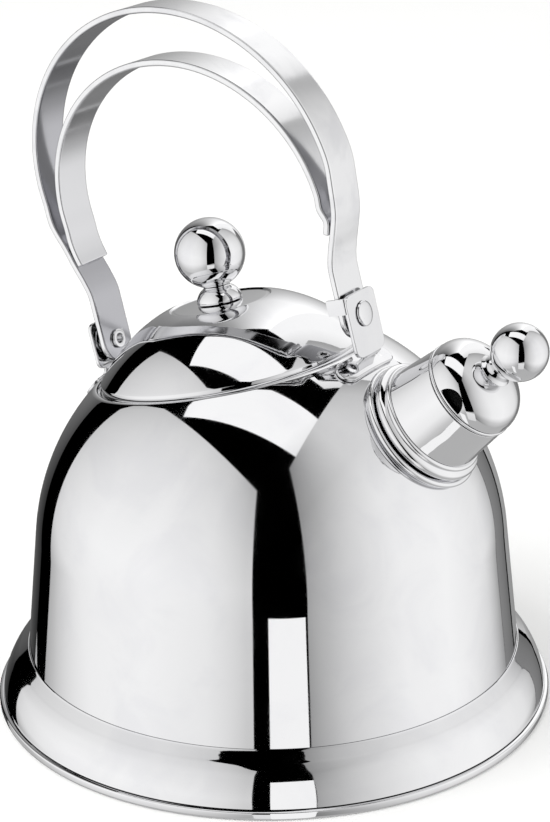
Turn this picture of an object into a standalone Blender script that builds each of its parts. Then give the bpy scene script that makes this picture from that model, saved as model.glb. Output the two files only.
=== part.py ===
"""Stovetop whistling kettle, modelled piece by piece for Blender 4.5.

Metres, +Z up. The origin is the centre of the flat underside, and +X points
to the spout. The lid and the handle lean back from the spout on a tilted axis
through the centre of the dome, and the spout leaves the dome along a radius.
"""

import math

import bmesh
import bpy
from mathutils import Matrix, Vector

MM = 0.001
GAP = 0.3 * MM                     # clearance between touching pieces

# Dome and wall of the body
DOME_RADIUS = 92.6 * MM
DOME_HEIGHT = 61.5 * MM            # height of the dome's centre above the hob
WALL = 1.0 * MM
CONE_TOP_ANGLE = 6.0               # degrees, where the cone of the wall meets the dome
WALL_FOOT = 4.4 * MM

# Base
BASE_RADIUS = 110.0 * MM
RIM_HEIGHT = 3.5 * MM
PAN_SHEET = 0.8 * MM
SKIRT_TOP = 22.3 * MM
SKIRT_SHEET = 0.8 * MM

# Lid
LID_TILT = 12.8                    # degrees, back from the spout
LID_RADIUS = 51.9 * MM
LID_SHEET = 0.8 * MM
ROLL_START = 56.0 * MM             # where the dome starts to roll into the opening
ROLL_RADIUS = 2.2 * MM
LEDGE_INNER = 47.0 * MM
LEDGE_TOP = 72.9 * MM
KNOB_HEIGHT = 117.3 * MM           # centre of the lid's ball, along the lid's axis
KNOB_RADIUS = 13.65 * MM

# Spout and whistle, as distances from the dome's centre along the spout's axis
SPOUT_ELEVATION = 42.4             # degrees above the hob
SPOUT_BORE = 17.2 * MM
SPOUT_SHEET = 0.8 * MM
SPOUT_MOUTH = 104.0 * MM
BARREL_START = 98.8 * MM
BARREL_END = 117.4 * MM
BARREL_WIDE = 21.3 * MM
BARREL_NARROW = 19.3 * MM
WHISTLE_SHEET = 0.8 * MM
WHISTLE_DOME_TOP = 132.2 * MM
WHISTLE_BALL = 144.7 * MM
WHISTLE_BALL_RADIUS = 10.65 * MM

# Handle, in a frame on its hinge axis
HINGE_TILT = 14.5                  # degrees
HINGE_CENTRE = Vector((-18.6 * MM, 0.0, 147.1 * MM))
STRAP_WIDTH = 17.5 * MM
STRAP_SHEET = 2.5 * MM
LEG_FRONT = 58.5 * MM              # hinge centre to the middle of each leg
LEG_REAR = 56.0 * MM
LEG_END_RADIUS = 8.9 * MM
PLATE_GAP = 1.8 * MM               # space for the washer between leg and plate
PLATE_SHEET = 1.5 * MM
PLATE_WIDTH = 20.0 * MM
PLATE_TOP = 8.5 * MM
SHANK_RADIUS = 2.7 * MM
HOLE_RADIUS = 3.0 * MM

BODY_STEPS = 40
TURN_STEPS = 28
SMALL_STEPS = 16

STEEL = (0.78, 0.78, 0.79, 1.0)
ALUMINIUM = (0.62, 0.63, 0.65, 1.0)
SILICONE = (0.10, 0.10, 0.11, 1.0)


def frame_matrix(origin, tilt_degrees):
    """A frame at origin whose Z axis leans by the tilt from +Z towards +X."""
    return Matrix.Translation(origin) @ Matrix.Rotation(math.radians(tilt_degrees), 4, "Y")


DOME_CENTRE = Vector((0.0, 0.0, DOME_HEIGHT))
BASE_FRAME = Matrix.Identity(4)
LID_FRAME = frame_matrix(DOME_CENTRE, -LID_TILT)
SPOUT_FRAME = frame_matrix(DOME_CENTRE, 90.0 - SPOUT_ELEVATION)
HINGE_FRAME = frame_matrix(HINGE_CENTRE, -HINGE_TILT)


# ---------------------------------------------------------------- scene set-up

def clear_scene():
    for old in list(bpy.data.objects):
        bpy.data.objects.remove(old, do_unlink=True)


def make_collection(name):
    collection = bpy.data.collections.new(name)
    bpy.context.scene.collection.children.link(collection)
    return collection


def make_material(name, colour, metallic, roughness):
    material = bpy.data.materials.new(name)
    material.use_nodes = True
    shader = material.node_tree.nodes["Principled BSDF"]
    shader.inputs["Base Color"].default_value = colour
    shader.inputs["Metallic"].default_value = metallic
    shader.inputs["Roughness"].default_value = roughness
    return material


# ---------------------------------------------------------------- outlines

def arc(centre, radius, start, end, count):
    """Points of a circular arc, angles in degrees from the first axis."""
    points = []
    for index in range(count + 1):
        angle = math.radians(start + (end - start) * index / count)
        points.append((centre[0] + radius * math.cos(angle), centre[1] + radius * math.sin(angle)))
    return points


def offset_line(points, distance):
    """The open outline moved to the right of its own direction."""
    moved = []
    for index, point in enumerate(points):
        before = points[max(index - 1, 0)]
        after = points[min(index + 1, len(points) - 1)]
        along = (Vector(after) - Vector(before)).normalized()
        moved.append((point[0] + along.y * distance, point[1] - along.x * distance))
    return moved


def sheet_loop(outer, thickness):
    """A closed section: the outer side from top to bottom, then back up inside."""
    return outer + list(reversed(offset_line(outer, thickness)))


def rounded_box(half_width, low, high, radius):
    """A rectangle with round corners, low to high, as a closed outline."""
    corners = [(half_width - radius, low + radius, -90.0), (half_width - radius, high - radius, 0.0),
               (radius - half_width, high - radius, 90.0), (radius - half_width, low + radius, 180.0)]
    points = []
    for x, y, start in corners:
        points += arc((x, y), radius, start, start + 90.0, 3)
    return points


# ---------------------------------------------------------------- builders

class Kettle:
    """Holds the two collections and makes named objects in them."""

    def __init__(self):
        self.parts = make_collection("stovetop_kettle")
        self.tools = make_collection("cutters")

    def add(self, name, mesh, frame, material):
        part = bpy.data.objects.new(name, mesh)
        part.matrix_world = frame
        mesh.materials.append(material)
        self.parts.objects.link(part)
        return part

    def add_cutter(self, name, mesh, frame):
        tool = bpy.data.objects.new(name, mesh)
        tool.matrix_world = frame
        tool.hide_render = True
        tool.display_type = "WIRE"
        self.tools.objects.link(tool)
        return tool

    def turned(self, name, outline, frame, material, closed=True, steps=TURN_STEPS):
        """A solid of revolution; the outline runs down its outer side."""
        part = self.add(name, profile_mesh(name, outline, closed), frame, material)
        screw_modifier(part, steps)
        return part

    def turned_cutter(self, name, outline, frame, closed=False, steps=TURN_STEPS):
        tool = self.add_cutter(name, profile_mesh(name, outline, closed), frame)
        screw_modifier(tool, steps)
        return tool


def profile_mesh(name, outline, closed):
    mesh = bpy.data.meshes.new(name)
    count = len(outline)
    edges = [(index, index + 1) for index in range(count - 1)]
    if closed:
        edges.append((count - 1, 0))
    mesh.from_pydata([(radius, 0.0, height) for radius, height in outline], edges, [])
    return mesh


def screw_modifier(part, steps):
    screw = part.modifiers.new("Turn", "SCREW")
    screw.steps = steps
    screw.render_steps = steps
    screw.use_merge_vertices = True
    screw.merge_threshold = 0.00002
    screw.use_smooth_shade = True


def boolean(part, tool, operation):
    modifier = part.modifiers.new(tool.name, "BOOLEAN")
    modifier.operation = operation
    modifier.object = tool
    modifier.solver = "EXACT"


def prism_mesh(name, outline, depth):
    """A closed outline in the XZ plane as a solid, depth deep and centred on Y."""
    curve = bpy.data.curves.new(name + "_outline", "CURVE")
    curve.dimensions = "2D"
    curve.fill_mode = "BOTH"
    curve.extrude = depth / 2.0
    spline = curve.splines.new("POLY")
    spline.points.add(len(outline) - 1)
    for point, (x, z) in zip(spline.points, outline):
        point.co = (x, z, 0.0, 1.0)
    spline.use_cyclic_u = True
    holder = bpy.data.objects.new(name + "_outline", curve)
    bpy.context.scene.collection.objects.link(holder)
    evaluated = holder.evaluated_get(bpy.context.evaluated_depsgraph_get())
    mesh = bpy.data.meshes.new_from_object(evaluated)
    bpy.data.objects.remove(holder, do_unlink=True)
    shape = bmesh.new()
    shape.from_mesh(mesh)
    bmesh.ops.remove_doubles(shape, verts=shape.verts, dist=0.000005)
    bmesh.ops.rotate(shape, verts=shape.verts, cent=(0, 0, 0), matrix=Matrix.Rotation(math.pi / 2, 3, "X"))
    bmesh.ops.recalc_face_normals(shape, faces=shape.faces)
    shape.to_mesh(mesh)
    shape.free()
    mesh.name = name
    return mesh


def cylinder_outline(radius, low, high):
    """Half a cylinder's section, for a turned solid or cutter."""
    return [(0.0, high), (radius, high), (radius, low), (0.0, low)]


def ring_outline(inner, outer, low, high):
    """A rectangular ring section, outer side first."""
    return [(inner, high), (outer, high), (outer, low), (inner, low)]


def ball_outline(radius, centre, start, end, count):
    """An arc down the outside of a ball, angles in degrees from its top."""
    return arc((0.0, centre), radius, 90.0 - start, 90.0 - end, count)


# ---------------------------------------------------------------- body

def wall_radius(height):
    """Outer radius of the conical wall at a height below the dome."""
    lean = math.radians(CONE_TOP_ANGLE)
    top = (DOME_RADIUS * math.cos(lean), DOME_HEIGHT + DOME_RADIUS * math.sin(lean))
    return top[0] + (top[1] - height) * math.tan(lean)


def circle_points(frame, radius, height):
    """A ring of points around the Z axis of a frame."""
    points = []
    for index in range(BODY_STEPS):
        turn = 2.0 * math.pi * index / BODY_STEPS
        points.append(frame @ Vector((radius * math.cos(turn), radius * math.sin(turn), height)))
    return points


def dome_rings(radius, spans):
    """Rings on a sphere, from the level foot of the dome to the tilted opening."""
    lean = math.radians(CONE_TOP_ANGLE)
    low = circle_points(BASE_FRAME, math.cos(lean), DOME_HEIGHT + math.sin(lean))
    opening = ROLL_START / DOME_RADIUS
    high = circle_points(LID_FRAME, opening, math.sqrt(1.0 - opening ** 2))
    rings = []
    for index in range(spans + 1):
        ring = []
        for start, end in zip(low, high):
            ray = (start - DOME_CENTRE).slerp(end - DOME_CENTRE, index / spans)
            ring.append(DOME_CENTRE + radius * ray)
        rings.append(ring)
    return rings


def roll_rings():
    """Rings over the rolled edge of the opening, round the ledge and back below it."""
    start = math.degrees(math.acos(ROLL_START / DOME_RADIUS))
    centre = ((DOME_RADIUS - ROLL_RADIUS) * math.cos(math.radians(start)),
              (DOME_RADIUS - ROLL_RADIUS) * math.sin(math.radians(start)))
    seat = [(centre[0] - ROLL_RADIUS, LEDGE_TOP), (LEDGE_INNER, LEDGE_TOP), (LEDGE_INNER, LEDGE_TOP - WALL),
            (centre[0] - ROLL_RADIUS + WALL, LEDGE_TOP - WALL)]
    over = arc(centre, ROLL_RADIUS, start, 180.0, 5)[1:]
    under = arc(centre, ROLL_RADIUS - WALL, 180.0, start, 4)[:-1]
    under[0] = (under[0][0], LEDGE_TOP + 0.6 * MM - WALL)
    over[-1] = (over[-1][0], LEDGE_TOP + 0.6 * MM)
    return [circle_points(LID_FRAME, radius, height) for radius, height in over + seat + under[1:]]


def body_rings():
    """Every ring of the body's section in order, outside first."""
    foot = circle_points(BASE_FRAME, wall_radius(WALL_FOOT), WALL_FOOT)
    inner_foot = circle_points(BASE_FRAME, wall_radius(WALL_FOOT) - WALL, WALL_FOOT)
    inside = list(reversed(dome_rings(DOME_RADIUS - WALL, 5)))
    return [foot] + dome_rings(DOME_RADIUS, 5) + roll_rings() + inside + [inner_foot]


def build_body(kettle, steel):
    """The shell lofts from level rings to tilted ones, so its faces are made ring by ring."""
    rings = body_rings()
    mesh = bpy.data.meshes.new("body_shell")
    faces = []
    for row in range(len(rings)):
        after = (row + 1) % len(rings)
        for column in range(BODY_STEPS):
            right = (column + 1) % BODY_STEPS
            faces.append((row * BODY_STEPS + column, row * BODY_STEPS + right, after * BODY_STEPS + right,
                          after * BODY_STEPS + column))
    mesh.from_pydata([point for ring in rings for point in ring], [], faces)
    shell = kettle.add("body_shell", mesh, BASE_FRAME, steel)
    spout_hole = kettle.turned_cutter("spout_hole_cutter",
                                      cylinder_outline(SPOUT_BORE + SPOUT_SHEET + GAP, 60 * MM, 120 * MM),
                                      SPOUT_FRAME)
    boolean(shell, spout_hole, "DIFFERENCE")


def skirt_outline():
    """The bulging flare from the groove below the wall out to the base's rim."""
    top = (wall_radius(SKIRT_TOP) + GAP + SKIRT_SHEET, SKIRT_TOP)
    foot = (BASE_RADIUS - 1.7 * MM, RIM_HEIGHT + GAP)
    points = []
    spans = 6
    for index in range(spans + 1):
        turn = math.pi / 2 * index / spans
        bulge = (math.sin(turn), math.cos(turn))
        straight = index / spans
        across = 0.55 * bulge[0] + 0.45 * straight
        down = 0.55 * (1.0 - bulge[1]) + 0.45 * straight
        points.append((top[0] + (foot[0] - top[0]) * across, top[1] + (foot[1] - top[1]) * down))
    return points


def build_base(kettle, steel, aluminium):
    kettle.turned("base_skirt", sheet_loop(skirt_outline(), SKIRT_SHEET), BASE_FRAME, steel,
                  steps=BODY_STEPS)
    floor_radius = wall_radius(WALL_FOOT) - WALL - GAP
    kettle.turned("vessel_floor", cylinder_outline(floor_radius, WALL_FOOT, WALL_FOOT + 1.2 * MM),
                  BASE_FRAME, steel, closed=False, steps=BODY_STEPS)
    disc_low = PAN_SHEET + GAP
    disc_high = WALL_FOOT - GAP
    kettle.turned("heat_disc", cylinder_outline(96.0 * MM, disc_low, disc_high), BASE_FRAME, aluminium,
                  closed=False, steps=BODY_STEPS)
    rim_inner = BASE_RADIUS - 3.8 * MM
    pan = [(0.0, PAN_SHEET), (rim_inner - 0.6 * MM, PAN_SHEET), (rim_inner, PAN_SHEET + 0.6 * MM),
           (rim_inner + 0.2 * MM, RIM_HEIGHT - 0.2 * MM), (BASE_RADIUS - 1.2 * MM, RIM_HEIGHT)]
    pan += arc((BASE_RADIUS - 1.3 * MM, RIM_HEIGHT - 1.3 * MM), 1.3 * MM, 60.0, 0.0, 3)
    pan += arc((BASE_RADIUS - 0.8 * MM, 0.8 * MM), 0.8 * MM, 0.0, -90.0, 3)
    pan.append((0.0, 0.0))
    kettle.turned("capsule_pan", pan, BASE_FRAME, steel, closed=False, steps=BODY_STEPS)


# ---------------------------------------------------------------- spout

def build_spout(kettle, steel):
    outer = SPOUT_BORE + SPOUT_SHEET
    tube = [(SPOUT_BORE, SPOUT_MOUTH - 0.6 * MM), (SPOUT_BORE + 0.4 * MM, SPOUT_MOUTH),
            (outer + 0.2 * MM, SPOUT_MOUTH), (outer + 0.5 * MM, SPOUT_MOUTH - 0.6 * MM),
            (outer + 0.2 * MM, SPOUT_MOUTH - 1.4 * MM), (outer, SPOUT_MOUTH - 1.8 * MM),
            (outer, 84.0 * MM), (SPOUT_BORE, 84.0 * MM)]
    kettle.turned("spout_tube", tube, SPOUT_FRAME, steel)
    kettle.turned("spout_flange", flange_outline(), SPOUT_FRAME, steel)
    kettle.turned("spout_collar", collar_outline(), SPOUT_FRAME, steel)


def dome_height_at(radius):
    """Distance along the spout axis of the dome's surface at a radius from that axis."""
    return math.sqrt(DOME_RADIUS ** 2 - radius ** 2)


def flange_outline():
    """The lowest bead, seated on the dome around the spout's hole."""
    bead = (24.6 * MM, 91.1 * MM)
    top = arc(bead, 1.3 * MM, 100.0, -65.0, 5)
    seat = []
    for index in range(3):
        radius = (24.4 - 2.8 * index) * MM
        seat.append((radius, dome_height_at(radius) + GAP))
    return [(19.0 * MM, 92.3 * MM)] + top + seat


def collar_outline():
    """Two rolled beads that stand on the flange, the lower one wide."""
    inner = SPOUT_BORE + SPOUT_SHEET + GAP
    narrow = arc((21.5 * MM, 97.6 * MM), 1.1 * MM, 100.0, -30.0, 4)
    wide = arc((22.6 * MM, 94.8 * MM), 2.0 * MM, 52.0, -62.0, 6)
    return [(inner, 98.4 * MM)] + narrow + wide + [(22.4 * MM, 92.6 * MM), (inner, 92.6 * MM)]


# ---------------------------------------------------------------- whistle

def whistle_dome_outline():
    """The rounded cap of the whistle, fuller than an ellipse."""
    foot = BARREL_END + 1.9 * MM
    reach = WHISTLE_DOME_TOP - foot
    wide = BARREL_NARROW - 0.1 * MM
    power = 2.3
    hub_angle = 14.0
    points = []
    spans = 8
    for index in range(spans + 1):
        turn = math.radians(hub_angle + (90.0 - hub_angle) * index / spans)
        radius = wide * math.sin(turn) ** (2.0 / power)
        points.append((radius, foot + reach * math.cos(turn) ** (2.0 / power)))
    return points


def build_whistle(kettle, steel, silicone):
    barrel = [(BARREL_NARROW, BARREL_END), ((BARREL_WIDE + BARREL_NARROW) / 2.0 - 0.1 * MM, 107.0 * MM),
              (BARREL_WIDE, BARREL_START)]
    kettle.turned("whistle_barrel", sheet_loop(barrel, WHISTLE_SHEET), SPOUT_FRAME, steel)
    seam = arc((BARREL_NARROW - 0.4 * MM, BARREL_END + 0.95 * MM), 0.65 * MM, 180.0, -135.0, 7)
    kettle.turned("whistle_seam_ring", seam, SPOUT_FRAME, steel)
    build_whistle_dome(kettle, steel)
    build_whistle_knob(kettle, steel)
    build_whistle_insides(kettle, steel, silicone)


def build_whistle_dome(kettle, steel):
    outline = whistle_dome_outline()
    dome = kettle.turned("whistle_dome", sheet_loop(outline, WHISTLE_SHEET), SPOUT_FRAME, steel)
    slot_width = 8.6 * MM
    slot_foot = BARREL_END + 3.2 * MM
    half_moon = arc((0.0, slot_foot), slot_width, 0.0, 180.0, 9)
    mesh = prism_mesh("steam_slot_cutter", half_moon, 60.0 * MM)
    tool = kettle.add_cutter("steam_slot_cutter", mesh, SPOUT_FRAME)
    boolean(dome, tool, "DIFFERENCE")


def build_whistle_knob(kettle, steel):
    hub_radius, hub_height = whistle_dome_outline()[0]
    ball_foot = WHISTLE_BALL - WHISTLE_BALL_RADIUS
    neck_bore = 1.9 * MM
    neck = [(neck_bore, ball_foot + 1.2 * MM), (4.2 * MM, ball_foot + 1.2 * MM),
            (5.3 * MM, ball_foot + 0.2 * MM), (6.0 * MM, hub_height + 1.2 * MM),
            (6.0 * MM, hub_height + 0.6 * MM), (hub_radius + 0.6 * MM, hub_height - 0.1 * MM),
            (hub_radius - GAP, hub_height - 0.4 * MM), (hub_radius - GAP, hub_height - 1.4 * MM),
            (neck_bore, hub_height - 1.4 * MM)]
    neck[5] = (hub_radius + 0.3 * MM, hub_height + 0.35 * MM)
    kettle.turned("whistle_neck", neck, SPOUT_FRAME, steel, steps=SMALL_STEPS)
    seat_angle = math.degrees(math.asin(4.6 * MM / WHISTLE_BALL_RADIUS))
    ball = ball_outline(WHISTLE_BALL_RADIUS, WHISTLE_BALL, 0.0, 180.0 - seat_angle, 11)
    flat = WHISTLE_BALL - WHISTLE_BALL_RADIUS + 1.2 * MM + GAP
    ball += [(4.4 * MM, flat), (neck_bore, flat), (neck_bore, WHISTLE_BALL), (0.0, WHISTLE_BALL)]
    kettle.turned("whistle_ball", ball, SPOUT_FRAME, steel, closed=False, steps=SMALL_STEPS)
    kettle.turned("whistle_screw", screw_outline(neck_bore - GAP, 3.6 * MM, hub_height - 1.4 * MM - GAP,
                                                 WHISTLE_BALL - 2.0 * MM),
                  SPOUT_FRAME, steel, closed=False, steps=SMALL_STEPS)


def screw_outline(shank, head, head_top, tip):
    """A round-headed screw that points up its axis, head below."""
    chamfer = 0.5 * MM
    head_height = 2.0 * MM
    return [(0.0, tip), (shank - chamfer, tip), (shank, tip - chamfer), (shank, head_top), (head, head_top),
            (head, head_top - 0.8 * MM), (head * 0.75, head_top - head_height + 0.3 * MM),
            (head * 0.4, head_top - head_height), (0.0, head_top - head_height)]


def build_whistle_insides(kettle, steel, silicone):
    plate_radius = 18.2 * MM
    hole = 1.5 * MM
    sheet = 0.6 * MM
    for name, height, rise in (("whistle_lower_plate", 108.6 * MM, -1.6 * MM),
                               ("whistle_upper_plate", 112.4 * MM, 1.6 * MM)):
        dish = [(hole, height + rise), (8.0 * MM, height + rise), (11.0 * MM, height),
                (plate_radius, height)]
        kettle.turned(name, sheet_loop(dish, sheet), SPOUT_FRAME, steel)
    seal = ring_outline(SPOUT_BORE + SPOUT_SHEET + GAP, 19.6 * MM, 99.4 * MM, 101.6 * MM)
    kettle.turned("whistle_seal", seal, SPOUT_FRAME, silicone)


# ---------------------------------------------------------------- lid

def lid_outline():
    """The lid's upper side: a nearly flat hub, then a dome down to the rim."""
    hub = [(2.2 * MM, 98.2 * MM), (10.0 * MM, 98.1 * MM), (18.6 * MM, 97.6 * MM)]
    crown = 70.5 * MM
    centre = 28.3 * MM
    points = list(hub)
    spans = 6
    for index in range(1, spans + 1):
        radius = 18.6 * MM + (LID_RADIUS - 18.6 * MM) * index / spans
        fall = math.sqrt(crown ** 2 - radius ** 2)
        lift = 1.9 * MM * (1.0 - index / spans) ** 1.5 + 0.9 * MM * math.sin(math.pi * index / spans)
        points.append((radius, centre + fall + lift))
    return points


def build_lid(kettle, steel):
    outline = lid_outline()
    edge = outline[-1]
    cap = [(2.2 * MM, outline[0][1] - LID_SHEET)] + outline
    inner = offset_line(outline, LID_SHEET)[1:-1]
    hem = [(edge[0], LEDGE_TOP + GAP), (edge[0] - LID_SHEET, LEDGE_TOP + GAP),
           (edge[0] - LID_SHEET, edge[1] - 1.1 * MM)]
    kettle.turned("lid_cap", cap + hem + list(reversed(inner)), LID_FRAME, steel, steps=BODY_STEPS)
    ring_outer = LEDGE_INNER - 0.8 * MM
    ring = ring_outline(ring_outer - LID_SHEET, ring_outer, 65.0 * MM, 78.3 * MM)
    kettle.turned("lid_locating_ring", ring, LID_FRAME, steel, steps=BODY_STEPS)
    build_lid_knob(kettle, steel, outline[0][1])


def build_lid_knob(kettle, steel, hub_top):
    bore = 2.2 * MM
    foot = hub_top + GAP
    ball_foot = KNOB_HEIGHT - KNOB_RADIUS
    stem = [(bore, ball_foot + 1.0 * MM), (4.6 * MM, ball_foot + 1.0 * MM), (5.3 * MM, ball_foot),
            (6.0 * MM, foot + 3.9 * MM), (7.4 * MM, foot + 2.6 * MM), (8.6 * MM, foot + 1.3 * MM),
            (8.8 * MM, foot + 0.6 * MM), (8.4 * MM, foot), (bore, foot)]
    kettle.turned("knob_stem", stem, LID_FRAME, steel, steps=SMALL_STEPS)
    flat = ball_foot + 1.0 * MM + GAP
    seat_angle = math.degrees(math.acos((KNOB_HEIGHT - flat) / KNOB_RADIUS))
    ball = ball_outline(KNOB_RADIUS, KNOB_HEIGHT, 0.0, 180.0 - seat_angle, 13)
    ball += [(bore, flat), (bore, KNOB_HEIGHT), (0.0, KNOB_HEIGHT)]
    kettle.turned("knob_ball", ball, LID_FRAME, steel, closed=False, steps=28)
    washer_top = hub_top - LID_SHEET - GAP
    kettle.turned("knob_washer", ring_outline(bore, 5.5 * MM, washer_top - 0.9 * MM, washer_top), LID_FRAME,
                  steel, steps=SMALL_STEPS)
    kettle.turned("knob_screw", screw_outline(bore - GAP, 4.0 * MM, washer_top - 0.9 * MM - GAP,
                                              KNOB_HEIGHT - 2.0 * MM),
                  LID_FRAME, steel, closed=False, steps=SMALL_STEPS)


# ---------------------------------------------------------------- handle

def crown_points(half_width, centre, height, lean, count):
    """The upper half of a loop from the front side to the rear, leaning back."""
    points = []
    for index in range(count + 1):
        turn = math.pi * index / count
        across = half_width * math.cos(turn) - lean * math.sin(turn)
        points.append((across, centre + height * math.sin(turn)))
    return points


def smooth_line(points, count):
    """A Catmull-Rom line through the points, with count steps in each span."""
    padded = [points[0]] + points + [points[-1]]
    line = []
    for index in range(1, len(padded) - 2):
        p0, p1, p2, p3 = (Vector(padded[index + shift]) for shift in (-1, 0, 1, 2))
        for step in range(count):
            t = step / count
            point = 0.5 * (2 * p1 + (p2 - p0) * t + (2 * p0 - 5 * p1 + 4 * p2 - p3) * t ** 2
                           + (3 * p1 - p0 - 3 * p2 + p3) * t ** 3)
            line.append((point.x, point.y))
    line.append(points[-1])
    return line


def outer_leg(side, reach, half_width):
    """One leg of the outer strap from its end up to the start of the crown."""
    foot = [(-10.0 * MM, 0.0), (4.0 * MM, 0.0), (14.0 * MM, 0.0), (20.0 * MM, 0.2 * MM),
            (26.0 * MM, 1.9 * MM), (33.0 * MM, 4.6 * MM), (40.0 * MM, 6.9 * MM)]
    points = [(side * (reach + out), height) for height, out in foot]
    points.append((side * (half_width - 0.5 * MM), 49.5 * MM))
    return points


def outer_strap_line():
    half_width = 67.0 * MM
    crown = crown_points(half_width, 58.5 * MM, 67.0 * MM, 6.5 * MM, 12)
    front = outer_leg(1.0, LEG_FRONT, half_width)
    rear = list(reversed(outer_leg(-1.0, LEG_REAR, half_width)))
    return smooth_line(front + crown + rear, 2)


def inner_strap_line():
    """The shorter strap, whose ends lie against the inside of the outer one."""
    half_width = 59.6 * MM
    crown = crown_points(half_width, 47.5 * MM, 58.0 * MM, 6.0 * MM, 12)
    lie = STRAP_SHEET + GAP
    front = [(LEG_FRONT + 4.2 * MM - lie, 32.4 * MM), (LEG_FRONT + 5.5 * MM - lie, 37.0 * MM),
             (half_width - 0.1 * MM, 42.0 * MM)]
    rear = [(-half_width + 0.1 * MM, 42.0 * MM), (-LEG_REAR - 5.5 * MM + lie, 37.0 * MM),
            (-LEG_REAR - 4.2 * MM + lie, 32.4 * MM)]
    return smooth_line(front + crown + rear, 2)


def strap_mesh(name, line):
    half = STRAP_SHEET / 2.0
    outline = offset_line(line, half) + list(reversed(offset_line(line, -half)))
    return prism_mesh(name, outline, STRAP_WIDTH)


def hinge_rod(kettle, name, radius):
    """A cutter along the hinge axis, long enough for both legs and plates."""
    along = HINGE_FRAME @ Matrix.Rotation(math.pi / 2, 4, "Y")
    return kettle.turned_cutter(name, cylinder_outline(radius, -90 * MM, 90 * MM), along, steps=SMALL_STEPS)


def build_handle(kettle, steel, rod):
    outer = kettle.add("outer_strap", strap_mesh("outer_strap", outer_strap_line()), HINGE_FRAME, steel)
    rounding = arc((0.0, 0.0), LEG_END_RADIUS, 180.0, 360.0, 12)
    rounding += [(LEG_END_RADIUS + 4 * MM, 8 * MM), (LEG_END_RADIUS + 4 * MM, 140 * MM),
                 (-LEG_END_RADIUS - 4 * MM, 140 * MM), (-LEG_END_RADIUS - 4 * MM, 8 * MM)]
    mesh = prism_mesh("leg_end_rounding", rounding, 180 * MM)
    sideways = HINGE_FRAME @ Matrix.Rotation(math.pi / 2, 4, "Z")
    boolean(outer, kettle.add_cutter("leg_end_rounding", mesh, sideways), "INTERSECT")
    boolean(outer, rod, "DIFFERENCE")
    kettle.add("inner_strap", strap_mesh("inner_strap", inner_strap_line()), HINGE_FRAME, steel)


def build_bracket(kettle, steel, rod, name, side, reach, plate_foot, pad_inset):
    """A plate that carries one leg, on a bent neck and a pad seated on the dome."""
    inner_face = reach + STRAP_SHEET / 2.0 + PLATE_GAP
    middle = side * (inner_face + PLATE_SHEET / 2.0)
    plate = prism_mesh(name, rounded_box(PLATE_WIDTH / 2.0, plate_foot, PLATE_TOP, 3.0 * MM), PLATE_SHEET)
    turn = Matrix.Rotation(math.pi / 2, 4, "Z")
    bracket = kettle.add(name, plate, HINGE_FRAME @ Matrix.Translation((middle, 0, 0)) @ turn, steel)
    centre = HINGE_FRAME.inverted() @ DOME_CENTRE
    across = middle - side * pad_inset
    boolean(bracket, bracket_neck(kettle, name + "_neck", (middle, plate_foot), across, centre), "UNION")
    boolean(bracket, dome_pad(kettle, name + "_pad", across, centre), "UNION")
    if side > 0.0:
        boolean(bracket, stop_tab(kettle, inner_face), "UNION")
    boolean(bracket, rod, "DIFFERENCE")


def bracket_neck(kettle, name, plate_end, across, centre):
    """A narrower strip that bends from the foot of the plate in to the pad."""
    middle, plate_foot = plate_end
    half = PLATE_SHEET / 2.0 - 0.1 * MM
    tip_height = centre.z + math.sqrt((DOME_RADIUS + 0.8 * MM) ** 2 - (across - centre.x) ** 2)
    bend = (middle + (across - middle) * 0.15, plate_foot + 0.35 * (tip_height - plate_foot))
    line = [(middle, plate_foot + 3.0 * MM), (middle, plate_foot + 0.8 * MM), bend, (across, tip_height)]
    outline = offset_line(line, half) + list(reversed(offset_line(line, -half)))
    return kettle.add_cutter(name, prism_mesh(name, outline, 13.0 * MM), HINGE_FRAME)


def dome_pad(kettle, name, across, centre):
    """A rounded pad that follows the dome, as a cutter to join to its bracket."""
    lean = math.degrees(math.asin((across - centre.x) / DOME_RADIUS))
    frame = frame_matrix(DOME_CENTRE, lean - HINGE_TILT)
    width = 4.8 * MM
    length = 17.0 * MM
    outline = arc((length - width, 0.0), width, -90.0, 90.0, 6)
    outline += arc((width - length, 0.0), width, 90.0, 270.0, 6)
    prism = prism_mesh(name, outline, 30.0 * MM)
    upright = Matrix.Rotation(math.pi / 2, 4, "Z") @ Matrix.Rotation(math.pi / 2, 4, "X")
    pad = kettle.add_cutter(name, prism, frame @ Matrix.Translation((0, 0, DOME_RADIUS)) @ upright)
    low = DOME_RADIUS + GAP
    high = DOME_RADIUS + 1.5 * MM
    layer = arc((0.0, 0.0), high, 90.0, 74.0, 4) + arc((0.0, 0.0), low, 74.0, 90.0, 4)
    shell = kettle.turned_cutter(name + "_layer", layer, frame)
    boolean(pad, shell, "INTERSECT")
    return pad


def stop_tab(kettle, inner_face):
    """The bent tab that the front leg rests against when the handle stands."""
    low = 2.3 * MM
    high = 8.2 * MM
    outline = [(inner_face - 7.0 * MM, low), (inner_face + 1.2 * MM, low), (inner_face + 1.2 * MM, high),
               (inner_face - 7.0 * MM, high)]
    mesh = prism_mesh("stop_tab", outline, 1.4 * MM)
    edge = STRAP_WIDTH / 2.0 + GAP + 0.7 * MM
    return kettle.add_cutter("stop_tab", mesh, HINGE_FRAME @ Matrix.Translation((0, -edge, 0)))


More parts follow.
